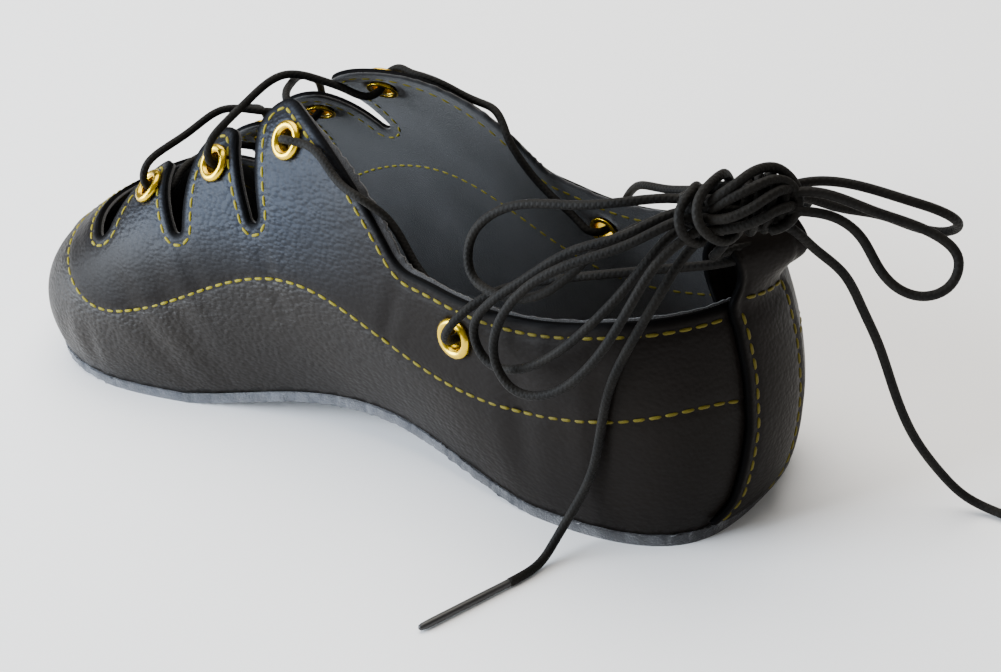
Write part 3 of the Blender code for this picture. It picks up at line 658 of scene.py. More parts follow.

# Black leather: warm and dull at the heel, with a painted blue highlight over the instep that tints its
# colour and its
# reflections and fades where the leather lies low, as at the toe, dusty in random patches, and matt where it
# is cut. Colours of the hide and of its shine:
LEATHER = {"warm": (0.0066, 0.0050, 0.0040), "painted_sheen": (0.0034, 0.0040, 0.0068),
           "dust": (0.0072, 0.0064, 0.0062), "cut": (0.0022, 0.0022, 0.0024)}
SHINE = {"warm": (1.0, 0.95, 0.90), "painted_sheen": (0.54, 0.71, 1.0)}
leather, tree, shader = finish_of("black_leather", Coat_Weight=0.02, Coat_Roughness=0.36)
grain = use_group(tree, hide, Cells=1050.0, Patch=40.0)
lower = add(tree, "ShaderNodeAttribute", {}, attribute_name="below_seam").outputs["Fac"]
cut_edge_and_shade = add(tree, "ShaderNodeAttribute", {}, attribute_name="near_edge").outputs["Fac"]
along, _, high_up = add(tree, "ShaderNodeSeparateXYZ", {"Vector": place_in(tree)}).outputs


def eased(value, start, end, low, high):
    """Value carried softly from one range to another."""
    return spread(tree, value, start, end, low, high, "SMOOTHSTEP")


def product(one, other):
    """Two shares multiplied."""
    return maths(tree, "MULTIPLY", one, other)


# Painted highlight: a bluish sheen painted over the high instep above the side seam, in the base colour and
# in the tint of the reflections.
instep = product(eased(along, -0.05, 0.0, 0.0, 1.0), eased(high_up, 0.034, 0.056, 0.12, 1.0))
painted_sheen = product(instep, eased(lower, 0.2, 0.8, 1.0, 0.0))
side = product(eased(along, -0.08, -0.015, 0.0, 1.0), eased(lower, 0.2, 0.8, 0.0, 1.0))
polish = maths(tree, "ADD", painted_sheen, side)
tint = blend_colours(tree, painted_sheen, LEATHER["warm"], LEATHER["painted_sheen"])
tint = blend_colours(tree, grain["Dull"], tint, LEATHER["dust"])
# The cut colour darkens the cut edges and a narrow band beside them; on the heel strip it is also painted
# shade along its raised edges.
tint = blend_colours(tree, cut_edge_and_shade, tint, LEATHER["cut"])
shine = product(eased(polish, 0.0, 1.0, 0.05, 0.14), eased(cut_edge_and_shade, 0.1, 0.9, 1.0, 0.15))
gloss = maths(tree, "ADD", eased(cut_edge_and_shade, 0.1, 0.9, 0.0, 0.3), eased(grain["Dull"], 0.3, 0.7, 0.40, 0.54))
pebbles = bumped(tree, grain["Height"], strength=eased(polish, 0.0, 1.0, 0.25, 0.6), distance=0.00035)
link_in(tree, shader, Base_Color=tint, Roughness=gloss, Specular_IOR_Level=shine, Normal=pebbles,
        Specular_Tint=blend_colours(tree, painted_sheen, SHINE["warm"], SHINE["painted_sheen"]))

pattern, triangles = upper_pattern()
pattern_t, pattern_h = on_last(pattern)
girth_lines = girths(pattern_t)
pattern_girth = np.array([np.interp(h, HEIGHTS, line) for h, line in zip(pattern_h, girth_lines)])
upper_out = facing(pattern_t, pattern_h)
upper_face = skin(pattern_t, pattern_h)
inner_face = upper_face - upper_out * WALL
upper_face = upper_face + upper_out * leather_relief(pattern, pattern_t, pattern_girth)[:, None]
at_sole = pattern_h < AT_SOLE
inner_face[at_sole, 2] = upper_face[at_sole, 2]
edge_gap = nearest(pattern, edge)


def upper_shell():
    """The upper's two faces with a rounded cut edge between them, past which the lining stands proud."""
    n = len(pattern)
    used = {(a, b) for f in triangles.tolist() for a, b in zip(f, f[1:] + f[:1])}
    free = np.array([(a, b) for a, b in sorted(used) if (b, a) not in used])
    runs = np.zeros((n, 3))
    for a, b in free:
        runs[a] += upper_face[b] - upper_face[a]
        runs[b] += upper_face[b] - upper_face[a]
    rim = np.unique(free)
    out = upper_out[rim]
    off = unit(np.cross(runs[rim], out))
    cut = (edge_gap[rim] < EDGE_TOUCH)[:, None]
    proud = np.interp(pattern[rim, :1], *zip(*LINING_PROUD)) * cut
    proud *= np.random.default_rng(5).uniform(*LINING_RAGGED, proud.shape)
    rings = [upper_face[rim] - out * depth + off * (bulge * cut + proud * share)
             for depth, bulge, share in CUT_SECTION]
    number = {int(v): i for i, v in enumerate(rim)}
    points = np.concatenate([upper_face, inner_face] + rings)
    faces = triangles.tolist() + [[i + n for i in reversed(f)] for f in triangles.tolist()]
    finish = [0] * len(triangles) + [1] * len(triangles)
    for pair in free.tolist():
        a, b = ([v] + [2 * n + k * len(rim) + number[v] for k in range(len(rings))] + [v + n] for v in pair)
        faces += [[b[k], a[k], a[k + 1], b[k + 1]] for k in range(len(rings) + 1)]
        finish += [0, 0, 1, 1, 1]
    return points, faces, finish


upper_points, upper_faces, upper_finish = upper_shell()
below = np.zeros(len(upper_points))
near = np.zeros(len(upper_points))
loop_of_seam = np.concatenate([side_seam, [BEHIND_HEEL]])
soft = np.clip(nearest(pattern, side_seam) / SEAM_FADE, 0, 1)
below[:len(pattern)] = np.where(inside(pattern, loop_of_seam), 0.5 - 0.5 * soft, 0.5 + 0.5 * soft)
near[:len(pattern)] = groove(edge_gap, EDGE_FADE)
near[2 * len(pattern):] = 1
upper = make_piece("leather_upper", upper_points, upper_faces, [leather, lining], upper_finish,
                   {"below_seam": below, "near_edge": near})
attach(upper, "root")
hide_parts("upper")

# Heel strip: a strap of the same leather over the back seam, sewn down with a row along each side. Above the
# collar it stands off as a loop for the lace, folds over and is sewn down inside.
STRIP_THICK = 1.2
STRIP_HALF = 8.5
STRIP_FOOT = 2.0
STRIP_LEAVE = 1.0
STRIP_INSIDE = (3.0, 6.5, 10.0)
STRIP_SEAM = 6.3
STRIP_STATIONS = 12
STRIP_ROWS = 150
STRIP_COLUMNS = 33
STRIP_MIDDLE = STRIP_COLUMNS // 2
# Loop above the collar edge: out from the leather's face, up from the edge
HEEL_LOOP = {
    "leave": (1.8, 1.0),
    "bulge": (3.7, 4.0),
    "shoulder": (4.6, 8.8),
    "top": (0.8, 13.2),
    "inner_shoulder": (-4.4, 9.8),
    "inner_side": (-5.4, 4.5),
    "inner_edge": (-3.4, 0.0),
}
# How far the strap swings to the inner side on its way up: share of the height, swing
STRIP_SWING = {"foot": (0, 8), "above_sole": (0.06, 4.6), "bulge": (0.2, 2.8), "middle": (0.45, 0.8),
               "top": (0.7, 0)}
# Relief of the strap's face: swell, then depth and half width of the seam groove and of the rounded edge
STRIP_PUFF = 0.25
STRIP_GROOVE = (0.30, 0.6)
STRIP_ROUND = (0.35, 0.35)
STRIP_EDGE_FADE = 0.8
STRIP_SHADE = 0.7
# The loop is flat from a height up, pulled askew by the knot, and narrower on its inner side
LOOP_FLAT = 3.0
LOOP_TWIST = 3.4
LOOP_TWIST_INSIDE = 0.25
LOOP_TWIST_RANGE = (-4, 3)
LOOP_PINCH = 0.25


def strip_sheet(t):
    """Middle of the strap at places t across it, from the sole up, over the loop and down inside."""
    foot, _, _, crown = rib(t)
    run = unit((foot - crown)[:, :2])
    w = crown[:, :2] - np.array(EDGE["heel_curve"][:2])
    along = (w * run).sum(1)
    to_edge = -along + np.sqrt(along**2 - (w * w).sum(1) + EDGE["heel_curve"][2]**2)
    collar = girths(t)[:, -1] - to_edge
    top = height_at(t, collar)
    up = unit(skin(t, top + SHARE_STEP) - skin(t, top - SHARE_STEP))
    out = facing(t, top)
    stations = []
    for share in np.linspace(0, 1, STRIP_STATIONS):
        swung = t + np.interp(share, *zip(*STRIP_SWING.values()))
        h = height_at(swung, STRIP_FOOT + share * (collar - STRIP_LEAVE - STRIP_FOOT))
        stations.append(skin(swung, h) + facing(swung, h) * (GAP + STRIP_THICK / 2))
    for off, over in HEEL_LOOP.values():
        share = min(over / LOOP_FLAT, 1)
        curved = skin(t, top) + out * off + up * over
        twist = LOOP_TWIST * np.interp(off, LOOP_TWIST_RANGE, (LOOP_TWIST_INSIDE, 1))
        across = unit(curved[-1] - curved[0]) * STRIP_HALF - out[STRIP_MIDDLE] * twist
        drawn_in = np.where(t > 0, 1 - LOOP_PINCH, 1) * t / STRIP_HALF
        flat_across = curved[STRIP_MIDDLE] + np.outer(drawn_in, across)
        stations.append(curved * (1 - share) + flat_across * share)
    for depth in STRIP_INSIDE:
        h = height_at(t, collar - depth)
        stations.append(skin(t, h) - facing(t, h) * (WALL + GAP + STRIP_THICK / 2))
    stations = np.array(stations)
    lengths = lengths_along(stations[:, STRIP_MIDDLE])
    path = spline(lengths, stations.reshape(len(stations), -1))
    return path(np.linspace(0, lengths[-1], STRIP_ROWS)).reshape(STRIP_ROWS, len(t), 3), lengths


strip_t = np.linspace(-STRIP_HALF, STRIP_HALF, STRIP_COLUMNS)
strip, strip_stations = strip_sheet(strip_t)
strip_out = unit(np.cross(np.gradient(strip, axis=0), np.gradient(strip, axis=1)))
strip_edge = STRIP_HALF - np.abs(strip_t)
strip_lift = np.full(STRIP_COLUMNS, STRIP_PUFF)
for line, (depth, width) in ((np.abs(strip_t) - STRIP_SEAM, STRIP_GROOVE), (strip_edge, STRIP_ROUND)):
    strip_lift -= depth * groove(line, width)
strip_face = strip + strip_out * (STRIP_THICK / 2 + strip_lift[None, :, None])
strip_back = strip - strip_out * STRIP_THICK / 2
# The strip's rounded edges take the cut-edge black, which is partly painted shade along its raised edges.
strip_marks = {"below_seam": np.full(2 * STRIP_ROWS * STRIP_COLUMNS, STRIP_SHADE),
               "near_edge": np.tile(groove(strip_edge, STRIP_EDGE_FADE), 2 * STRIP_ROWS)}
strip_solid = shell(strip_face.reshape(-1, 3), strip_back.reshape(-1, 3),
                    grid_faces(STRIP_ROWS, STRIP_COLUMNS))
heel_strip = make_piece("leather_heel_strip", *strip_solid, [leather], marks=strip_marks)
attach(heel_strip, "root")
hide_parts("heel_strip")

# Stitching: one weight of ochre waxed thread, lockstitched by machine. Each stitch that shows is a short bead
# of thread that rises out of one hole and dives into the next.
STITCH_PITCH = 3.3
STITCH = {"Length": 2.65, "Width": 0.78, "Height": 0.62}
STITCH_SINK = 0.12
STITCH_SINK_INSIDE = 0.2
STITCH_CLEAR = 0.8
# Cross seam of the heel strip under its loop: shares of the width, share of the length under the collar, and
# rows that it climbs to the inner side
CROSS_ENDS = (0.16, 0.86)
CROSS_UNDER = 0.015
CROSS_RISE = 5.0
# Bead of thread: how blunt its ends are and how far they dive
BEAD_BLUNT = 0.55
BEAD_DIVE = -0.45
# The heel colour of the thread is painted shade, for the stitches at the heel that stand in shade.
THREAD = {"dark": (0.12, 0.100, 0.002), "pale": (0.30, 0.255, 0.006), "heel_shade": (0.09, 0.072, 0.001)}


def stitch_spots(points, outs):
    """Middles, ways and outward directions of the stitches at even steps along a seam in space."""
    lengths = lengths_along(points)
    count = round(lengths[-1] / STITCH_PITCH)
    at = (np.arange(count) + 0.5) * lengths[-1] / count
    middles, ways, normals = (np.stack([np.interp(at, lengths, column) for column in values.T], -1)
                              for values in (points, np.gradient(points, axis=0), outs))
    return middles, unit(ways), unit(normals)


def seam_on_upper(line):
    """A seam of the flat pattern on the last, sunk in its groove, without what the heel strip covers."""
    t, h = on_last(line)
    clear = np.minimum(t, ROUND - t) > STRIP_HALF + STITCH_CLEAR
    out = facing(t, h)
    return (skin(t, h) - out * STITCH_SINK)[clear], out[clear]


def seam_inside(line):
    """The same seam's under thread on the lining."""
    face, out = seam_on_upper(line)
    return face - out * (WALL - STITCH_SINK_INSIDE), -out


def seam_on_strip(t):
    """A row along the heel strip at place t across it, from the sole to the collar."""
    rows = slice(0, int(collar_share * STRIP_ROWS))
    column = int(round((t + STRIP_HALF) / (2 * STRIP_HALF) * (STRIP_COLUMNS - 1)))
    out = strip_out[rows, column]
    return strip_face[rows, column] + out * STITCH_SINK, out


collar_share = strip_stations[STRIP_STATIONS - 1] / strip_stations[-1]
cross_columns = np.arange(*(int(share * STRIP_COLUMNS) for share in CROSS_ENDS))
cross_rows = (collar_share - CROSS_UNDER) * STRIP_ROWS + np.linspace(0, CROSS_RISE, len(cross_columns))
cross_shares = (cross_rows % 1)[:, None]
cross_rows = cross_rows.astype(int)
cross_out = strip_out[cross_rows, cross_columns]
cross_seam = (strip_face[cross_rows, cross_columns] * (1 - cross_shares)
              + strip_face[cross_rows + 1, cross_columns] * cross_shares + cross_out * STITCH_SINK)
seams = [seam_on_upper(edge_seam), seam_on_upper(side_seam), seam_inside(edge_seam), seam_inside(side_seam),
         seam_on_strip(STRIP_SEAM), seam_on_strip(-STRIP_SEAM), (cross_seam, cross_out)]
stitches = [np.concatenate(part) for part in zip(*(stitch_spots(*seam) for seam in seams))]

thread, tree, shader = finish_of("ochre_thread", Roughness=0.62, Specular_IOR_Level=0.2)
ply = noise(tree, place_in(tree), scale=900.0, detail=2.0)
# Painted shade: the thread is darkened towards the heel, where the stitches stand in shade.
heel_shade = spread(tree, place_along(tree), start=0.0, end=-0.08)
tint = blend_colours(tree, heel_shade, blend_colours(tree, ply, THREAD["dark"], THREAD["pale"]), THREAD["heel_shade"])
link_in(tree, shader, Base_Color=tint, Normal=bumped(tree, ply, strength=0.4, distance=0.0002))


def spots_mesh(name, middles, ways, outs):
    """Bare points that carry the way and the outward direction of what stands on them."""
    mesh = bpy.data.meshes.new(name)
    mesh.from_pydata(((middles - CENTRE) * MM).tolist(), [], [])
    for key, values in (("way", ways), ("out", outs)):
        mesh.attributes.new(key, "FLOAT_VECTOR", "POINT").data.foreach_set("vector", values.ravel())
    return show(name, mesh)


def new_tree(name, sizes):
    """Geometry tree with a geometry socket and named sizes."""
    made = bpy.data.node_groups.new(name, "GeometryNodeTree")
    made.interface.new_socket("Geometry", in_out="INPUT", socket_type="NodeSocketGeometry")
    for size in sizes:
        made.interface.new_socket(size, in_out="INPUT", socket_type="NodeSocketFloat")
    made.interface.new_socket("Geometry", in_out="OUTPUT", socket_type="NodeSocketGeometry")
    return made, made.nodes.new("NodeGroupInput").outputs, made.nodes.new("NodeGroupOutput").inputs


def stand_on_spots(made, spots_socket, shape, finish, output):
    """Set a shape on every spot, turned by its way and outward direction, as one mesh with its finish."""
    way, out = (add(made, "GeometryNodeInputNamedAttribute", {"Name": key},
                    data_type="FLOAT_VECTOR").outputs[0] for key in ("way", "out"))
    turned = add(made, "FunctionNodeAlignRotationToVector", {"Vector": way}, axis="X")
    stood = add(made, "FunctionNodeAlignRotationToVector", {"Rotation": turned.outputs[0], "Vector": out},
                axis="Z", pivot_axis="X")
    copies = add(made, "GeometryNodeInstanceOnPoints", {"Points": spots_socket, "Instance": shape,
                                                       "Rotation": stood.outputs[0]})
    real = add(made, "GeometryNodeRealizeInstances", {"Geometry": copies.outputs[0]})
    smooth = add(made, "GeometryNodeSetShadeSmooth", {"Geometry": real.outputs[0]})
    coated = add(made, "GeometryNodeSetMaterial", {"Geometry": smooth.outputs[0], "Material": finish})
    made.links.new(coated.outputs[0], output)


def grown(holder, made, sizes, finish):
    """Run a geometry tree with its sizes in millimetres on its spots, and keep the result as a plain mesh."""
    grow = holder.modifiers.new("grow", "NODES")
    grow.node_group = made
    for item in made.interface.items_tree:
        if item.in_out == "INPUT" and item.name in sizes:
            grow[item.identifier] = sizes[item.name] * MM
    holder.data.materials.append(finish)
    bpy.context.view_layer.update()
    result = bpy.data.meshes.new_from_object(holder.evaluated_get(bpy.context.evaluated_depsgraph_get()))
    holder.modifiers.remove(grow)
    holder.data = result
    return holder


bead, bead_in, bead_out = new_tree("stitch_beads", STITCH)
ball = add(bead, "GeometryNodeMeshUVSphere", {"Segments": 6, "Rings": 7, "Radius": 0.5})
laid = add(bead, "GeometryNodeTransform", {"Geometry": ball.outputs[0], "Rotation": (0, math.pi / 2, 0)})
ball_x, ball_y, ball_z = add(bead, "ShaderNodeSeparateXYZ", {
    "Vector": bead.nodes.new("GeometryNodeInputPosition").outputs[0]}).outputs
twice = maths(bead, "MULTIPLY", ball_x, 2.0)
blunt = maths(bead, "POWER", maths(bead, "ABSOLUTE", twice), BEAD_BLUNT)
blunt_x = maths(bead, "MULTIPLY", maths(bead, "MULTIPLY", blunt, 0.5), maths(bead, "SIGN", twice))
dive = maths(bead, "MULTIPLY_ADD", maths(bead, "POWER", blunt, 4.0), BEAD_DIVE, ball_z)
shaped = add(bead, "ShaderNodeCombineXYZ", {"X": blunt_x, "Y": ball_y, "Z": dive})
bent = add(bead, "GeometryNodeSetPosition", {"Geometry": laid.outputs[0], "Position": shaped.outputs[0]})
size = add(bead, "ShaderNodeCombineXYZ", {axis: bead_in[name] for axis, name in zip("XYZ", STITCH)})
drawn_out = add(bead, "GeometryNodeTransform", {"Geometry": bent.outputs[0], "Scale": size.outputs[0]})
stand_on_spots(bead, bead_in["Geometry"], drawn_out.outputs[0], thread, bead_out["Geometry"])
stitching = grown(spots_mesh("thread_stitching", *stitches), bead, STITCH, thread)
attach(stitching, "root")

# Eyelets: eight domed brass rings, each pressed through a punched hole and rolled over on the inside.
# The dome is a smooth roll, brighter on its crown and dull in the bore.
EYELET = {"Ring": 3.55, "Roll": 1.05, "Bore": 2.62, "Wall": WALL}
EYELET_POINTS = (40, 14)
# Rings of an eyelet, as shares of the named sizes: radius, half width, half height, height of the middle
EYELET_RINGS = {
    "dome": (("Ring", 1.0), ("Roll", 1.0), ("Roll", 0.95), ("Roll", 0.45)),
    "barrel": (("Bore", 1.0), ("Roll", 0.16), ("Wall", 0.95), ("Wall", -0.45)),
    "flange": (("Bore", 1.26), ("Roll", 0.55), ("Roll", 0.22), ("Wall", -1.55)),
}
BRASS = {"dull": (0.58, 0.36, 0.008), "bright": (0.86, 0.60, 0.035)}
eyelet_frames = [leather_frame(x, y * side) for x, y in EYELETS.values() for side in (1, -1)]
eyelet_middles, eyelet_outs, eyelet_ways, _ = (np.array(part) for part in zip(*eyelet_frames))

brass, tree, shader = finish_of("brass", Metallic=1.0)
tarnish = noise(tree, place_in(tree), scale=420.0, detail=5.0)
scratch = noise(tree, place_in(tree), scale=2500.0, detail=2.0)
link_in(tree, shader, Base_Color=blend_colours(tree, tarnish, BRASS["dull"], BRASS["bright"]),
        Roughness=spread(tree, tarnish, start=0.0, end=1.0, low=0.16, high=0.36),
        Normal=bumped(tree, scratch, strength=0.08, distance=0.0002))

ring_tree, ring_in, ring_out = new_tree("pressed_rings", EYELET)


def swept_ring(*sizes):
    """Ring of a flattened round section about the outward axis, from shares of named sizes."""
    radius, thick, tall, lift = (maths(ring_tree, "MULTIPLY", ring_in[name], share) for name, share in sizes)
    path, section = (add(ring_tree, "GeometryNodeCurvePrimitiveCircle",
                         {"Resolution": points, "Radius": size}).outputs[0]
                     for points, size in zip(EYELET_POINTS, (radius, 1.0)))
    flat = add(ring_tree, "ShaderNodeCombineXYZ", {"X": thick, "Y": tall, "Z": 1.0}).outputs[0]
    raised = add(ring_tree, "ShaderNodeCombineXYZ", {"Z": lift}).outputs[0]
    pressed = add(ring_tree, "GeometryNodeTransform", {"Geometry": section, "Scale": flat}).outputs[0]
    swept = add(ring_tree, "GeometryNodeCurveToMesh", {"Curve": path, "Profile Curve": pressed}).outputs[0]
    return add(ring_tree, "GeometryNodeTransform", {"Geometry": swept, "Translation": raised}).outputs[0]


joined = ring_tree.nodes.new("GeometryNodeJoinGeometry")
for ring_sizes in EYELET_RINGS.values():
    ring_tree.links.new(swept_ring(*ring_sizes), joined.inputs[0])
stand_on_spots(ring_tree, ring_in["Geometry"], joined.outputs[0], brass, ring_out["Geometry"])
eyelet_spots = spots_mesh("brass_eyelets", eyelet_middles, eyelet_ways, eyelet_outs)
eyelets = grown(eyelet_spots, ring_tree, EYELET, brass)
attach(eyelets, "root")
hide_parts(*[f"eyelet_{side}_{name}" for side in ("inner", "outer") for name in EYELETS])

# Lacing: one black round braided cord. From its middle under the front tabs it comes up through each pair of
# eyelets and over to the next pair, runs along the collar on each side, in over the edge and out through the
# quarter eyelet, then back over the collar and through the heel loop from both sides.
LACE_RADIUS = 0.95
LACE_SIDES = 14
LACE_STEP = 0.8
LACE_END_ROUND = 0.45
ASLANT = (0.3, 0.5, 0.8)
BRAID_WINDS = 4.0
BRAID_WAVES = 1.6
CORD = {"rubbed": (0.0026, 0.0023, 0.0019), "pale": (0.0070, 0.0060, 0.0046)}
# One strand in the flat pattern, from the bar to the quarter eyelet: x, out, lift over the leather's face
STRAND = (
    (172.3, 0, -4.2), (171.8, 12, -4.6), (170.8, 19.5, -4.9), (170.3, 22.8, -2.0), (170.3, 23.0, 1.6),
    (169.0, 20.6, 3.7), (166, 15.2, 3.3), (162.5, 8, 2.2), (158.3, 0, 1.0), (154, -7, -1.5),
    (150, -14.5, -3.8), (147.4, -19.3, -4.9), (146.2, -21.9, -2.0), (146.1, -22.0, 1.6), (144.6, -19.6, 3.7),
    (141.8, -15, 3.3), (138, -8.5, 2.2), (133, 0, 1.0), (128.5, 7.5, -1.9), (126, 11.5, -3.8),
    (122.2, 17.8, -4.9), (120.5, 20.4, -2.0), (120.2, 20.7, 1.4), (117.6, 21.2, 3.1), (114, 22, 2.2),
    (110, 23.2, 1.5), (105, 26.2, 1.3), (99.5, 30.3, 1.3), (95, 32.4, 1.5), (91, 33.7, 1.4), (87.5, 35.4, 0),
    (84, 38, -2.3), (79.5, 42.2, -3.9), (74, 47.2, -4.4), (66, 51.6, -4.6), (58, 54.6, -4.8), (53, 56, -4.9),
    (50, 56.7, -2.0), (49.7, 56.7, 1.4),
)
# How far the strands pass over and under each other where they cross the ridge: place in STRAND, lift
CROSSINGS = {8: 1.3, 17: -1.3}
# The rest of the strand in space, over the collar, through the heel loop and up to the knot: x, y, z.
# The outer side's strand lies higher in the loop, by STRAND_RISE from its point STRAND_RISE_FROM on.
STRAND_HEEL = ((64.2, 32.0, 44.2), (59.0, 29.8, 50.3), (53.5, 26, 53.9), (44, 22, 56.5), (30, 17, 58.8),
               (18, 11.5, 60), (11.4, 7.5, 60.4), (8.4, 4, 60.6), (7.8, 0, 60.6))
STRAND_RISERS = {1: ((8.0, -4, 60.7), (8.4, -8, 60.9), (7.6, -12, 61.6), (5.2, -13.4, 63.8), (3.2, -12, 67.4),
                     (2.0, -7, 70.6), (1.8, -1, 72.2)),
                 -1: ((9.2, 4, 62.7), (11.0, 8.0, 62.9), (10.8, 11.0, 63.8), (9.2, 12.2, 65.4),
                      (7.8, 11.6, 67.3), (7.0, 10.3, 69.3), (6.8, 8.8, 71))}
STRAND_RISE = 2.0
STRAND_RISE_FROM = 4

cord, tree, shader = finish_of("black_cord", Roughness=0.68, Specular_IOR_Level=0.12, Sheen_Weight=0.01)
uv = add(tree, "ShaderNodeUVMap", {}, uv_map="cord").outputs[0]
cord_along, cord_round, _ = add(tree, "ShaderNodeSeparateXYZ", {"Vector": uv}).outputs


def braid_wave(turn):
    """Ridges of one set of yarns, which wind round the cord one way."""
    slant = maths(tree, "MULTIPLY", cord_round, turn * BRAID_WINDS)
    waves = maths(tree, "MULTIPLY_ADD", cord_along, BRAID_WAVES, slant)
    return maths(tree, "SINE", maths(tree, "MULTIPLY", waves, 2 * math.pi))


yarns = maths(tree, "MAXIMUM", braid_wave(1), braid_wave(-1))
rubbed = use_group(tree, nap, Hair=2500.0, Patch=140.0)["Rubbed"]
link_in(tree, shader, Base_Color=blend_colours(tree, rubbed, CORD["rubbed"], CORD["pale"]),
        Normal=bumped(tree, yarns, strength=0.28, distance=0.00015))


def tube(points, radius, closed=False):
    """Points, faces and UVs of a round cord along points, with round ends."""
    points = np.asarray(points, float)
    n = len(points)
    if closed:
        way = unit(np.roll(points, -1, axis=0) - np.roll(points, 1, axis=0))
    else:
        way = unit(np.gradient(points, axis=0))
    side = np.cross(way[0], ASLANT)
    sides = []
    for w in way:
        side = unit(side - w * (side @ w))
        sides.append(side)
    sides = np.array(sides)
    up = np.cross(way, sides)
    angles = np.linspace(0, 2 * math.pi, LACE_SIDES, endpoint=False)
    spokes = sides[:, None] * np.cos(angles)[:, None] + up[:, None] * np.sin(angles)[:, None]
    verts = (points[:, None] + spokes * radius).reshape(-1, 3)
    lengths = lengths_along(points) / (2 * radius)
    shares = [(k, (k + 1) % LACE_SIDES, k / LACE_SIDES, (k + 1) / LACE_SIDES) for k in range(LACE_SIDES)]
    faces, uvs = [], []
    for i in range(n if closed else n - 1):
        j = (i + 1) % n
        start, end = lengths[i], lengths[j] if j else lengths[i] + 1
        a, b = i * LACE_SIDES, j * LACE_SIDES
        for k, m, v0, v1 in shares:
            faces.append((a + k, a + m, b + m, b + k))
            uvs += [(start, v0), (start, v1), (end, v1), (end, v0)]
    for ring, turn in () if closed else ((0, -1), (n - 1, 1)):
        tip = len(verts)
        verts = np.concatenate([verts, [points[ring] + way[ring] * radius * LACE_END_ROUND * turn]])
        for k, m, v0, v1 in shares:
            faces.append((tip, ring * LACE_SIDES + k, ring * LACE_SIDES + m))
            uvs += [(lengths[ring], 0.5), (lengths[ring], v0), (lengths[ring], v1)]
    return verts, faces, uvs


def make_cords(name, tubes, finish):
    """Piece made of one or more lengths of cord, with a UV map that runs along each."""
    points, faces, uvs = [], [], []
    for verts, tube_faces, tube_uvs in tubes:
        first = sum(len(p) for p in points)
        points.append(verts)
        faces += [tuple(i + first for i in f) for f in tube_faces]
        uvs += tube_uvs
    mesh = bpy.data.meshes.new(name)
    mesh.from_pydata(((np.concatenate(points) - CENTRE) * MM).tolist(), [], faces)
    mesh.materials.append(finish)
    mesh.uv_layers.new(name="cord").data.foreach_set("uv", np.array(uvs).ravel())
    face_out(mesh)
    made = show(name, mesh)
    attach(made, "root")
    return made


def strand_points(side):
    """One strand's route in space, from the bar's middle to the knot."""
    rows = np.array(STRAND) * [1, side, 1]
    for row, lift in CROSSINGS.items():
        rows[row, 2] += lift * side
    t, h = on_last(rows[:, :2])
    over = skin(t, h) + facing(t, h) * rows[:, 2:]
    heel = np.array(STRAND_HEEL) * [1, side, 1]
    heel[STRAND_RISE_FROM:, 2] += STRAND_RISE * (1 - side) / 2
    return smooth_line(np.concatenate([over, heel, STRAND_RISERS[side]]), LACE_STEP)


lacing = make_cords("cord_lacing", [tube(strand_points(side), LACE_RADIUS) for side in (1, -1)], cord)
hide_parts("lace_bar", "lace_cross_front", "lace_cross_back", "lace_side_inner", "lace_side_outer",
            "lace_heel")

# Knot: the cord's own turns, drawn tight on the heel loop. Two wraps hold the bow's strands together on the
# inner side, four strands cross over them, and the rest is heaped on the outer side.
KNOT_CENTRE = np.array((7.0, 7.0, 73.1))
KNOT_WAY = unit(np.array((-0.775, -0.624, -0.101)))
KNOT_UP = unit(np.array((0.071, -0.244, 0.967)))
KNOT_FRAME = np.array((KNOT_WAY, KNOT_UP, np.cross(KNOT_WAY, KNOT_UP)))
KNOT_STEP = 0.7
# Routes in the knot's own frame: along to the outer side, up, out to the back. Wraps close on themselves.
KNOT_WRAPS = {
    "first_wrap": ((-9.6, 3.0, 3.0), (-11.3, 0.6, 4.4), (-11.4, -2.2, 4.8), (-10.0, -4.9, 4.0),
                   (-7.6, -6.2, 2.0), (-6.2, -5.0, -2.5), (-6.4, -1.5, -5.0), (-7.0, 2.2, -4.0),
                   (-7.8, 4.0, -0.5)),
    "second_wrap": ((-5.6, 5.3, 3.8), (-7.6, 3.4, 5.3), (-8.4, 0.8, 6.1), (-7.8, -1.9, 6.3),
                    (-5.8, -4.2, 5.8), (-3.0, -5.4, 4.5), (-0.8, -4.6, 2.6), (0.2, -2.0, -2.5),
                    (-0.4, 2.0, -5.0), (-1.6, 5.0, -3.4), (-3.2, 6.2, 0.4)),
}
KNOT_STRANDS = {
    "over": ((-6.0, 1.4, 3.8), (-4.6, 3.0, 5.0), (-1.8, 5.0, 5.6), (1.2, 6.9, 4.6), (4.0, 7.6, 2.8),
             (6.9, 7.2, 1.6), (9.2, 5.4, 1.6), (10.6, 2.6, 2.4), (10.2, -0.4, 3.4), (8.2, -2.8, 4.2),
             (5.2, -3.8, 4.4)),
    "inside_over": ((-5.6, 0.2, 4.4), (-3.6, 2.0, 5.6), (-0.2, 3.9, 6.4), (3.4, 5.3, 5.6), (6.6, 5.6, 4.0),
                    (9.4, 4.0, 3.0), (10.4, 1.0, 2.6)),
    "under": ((-8.0, -0.8, 3.2), (-6.0, -1.0, 5.0), (-3.6, -0.8, 6.4), (-0.6, 0.2, 7.0), (2.6, 1.9, 7.0),
              (5.6, 3.4, 5.8), (8.0, 3.8, 4.0), (9.6, 2.8, 1.0)),
    "low": ((-6.6, -3.2, 4.8), (-3.6, -3.0, 5.6), (-0.4, -2.4, 6.2), (2.8, -1.2, 6.6), (5.8, 0.2, 6.2),
            (8.4, 0.6, 4.6), (10.0, 0.2, 2.2)),
}
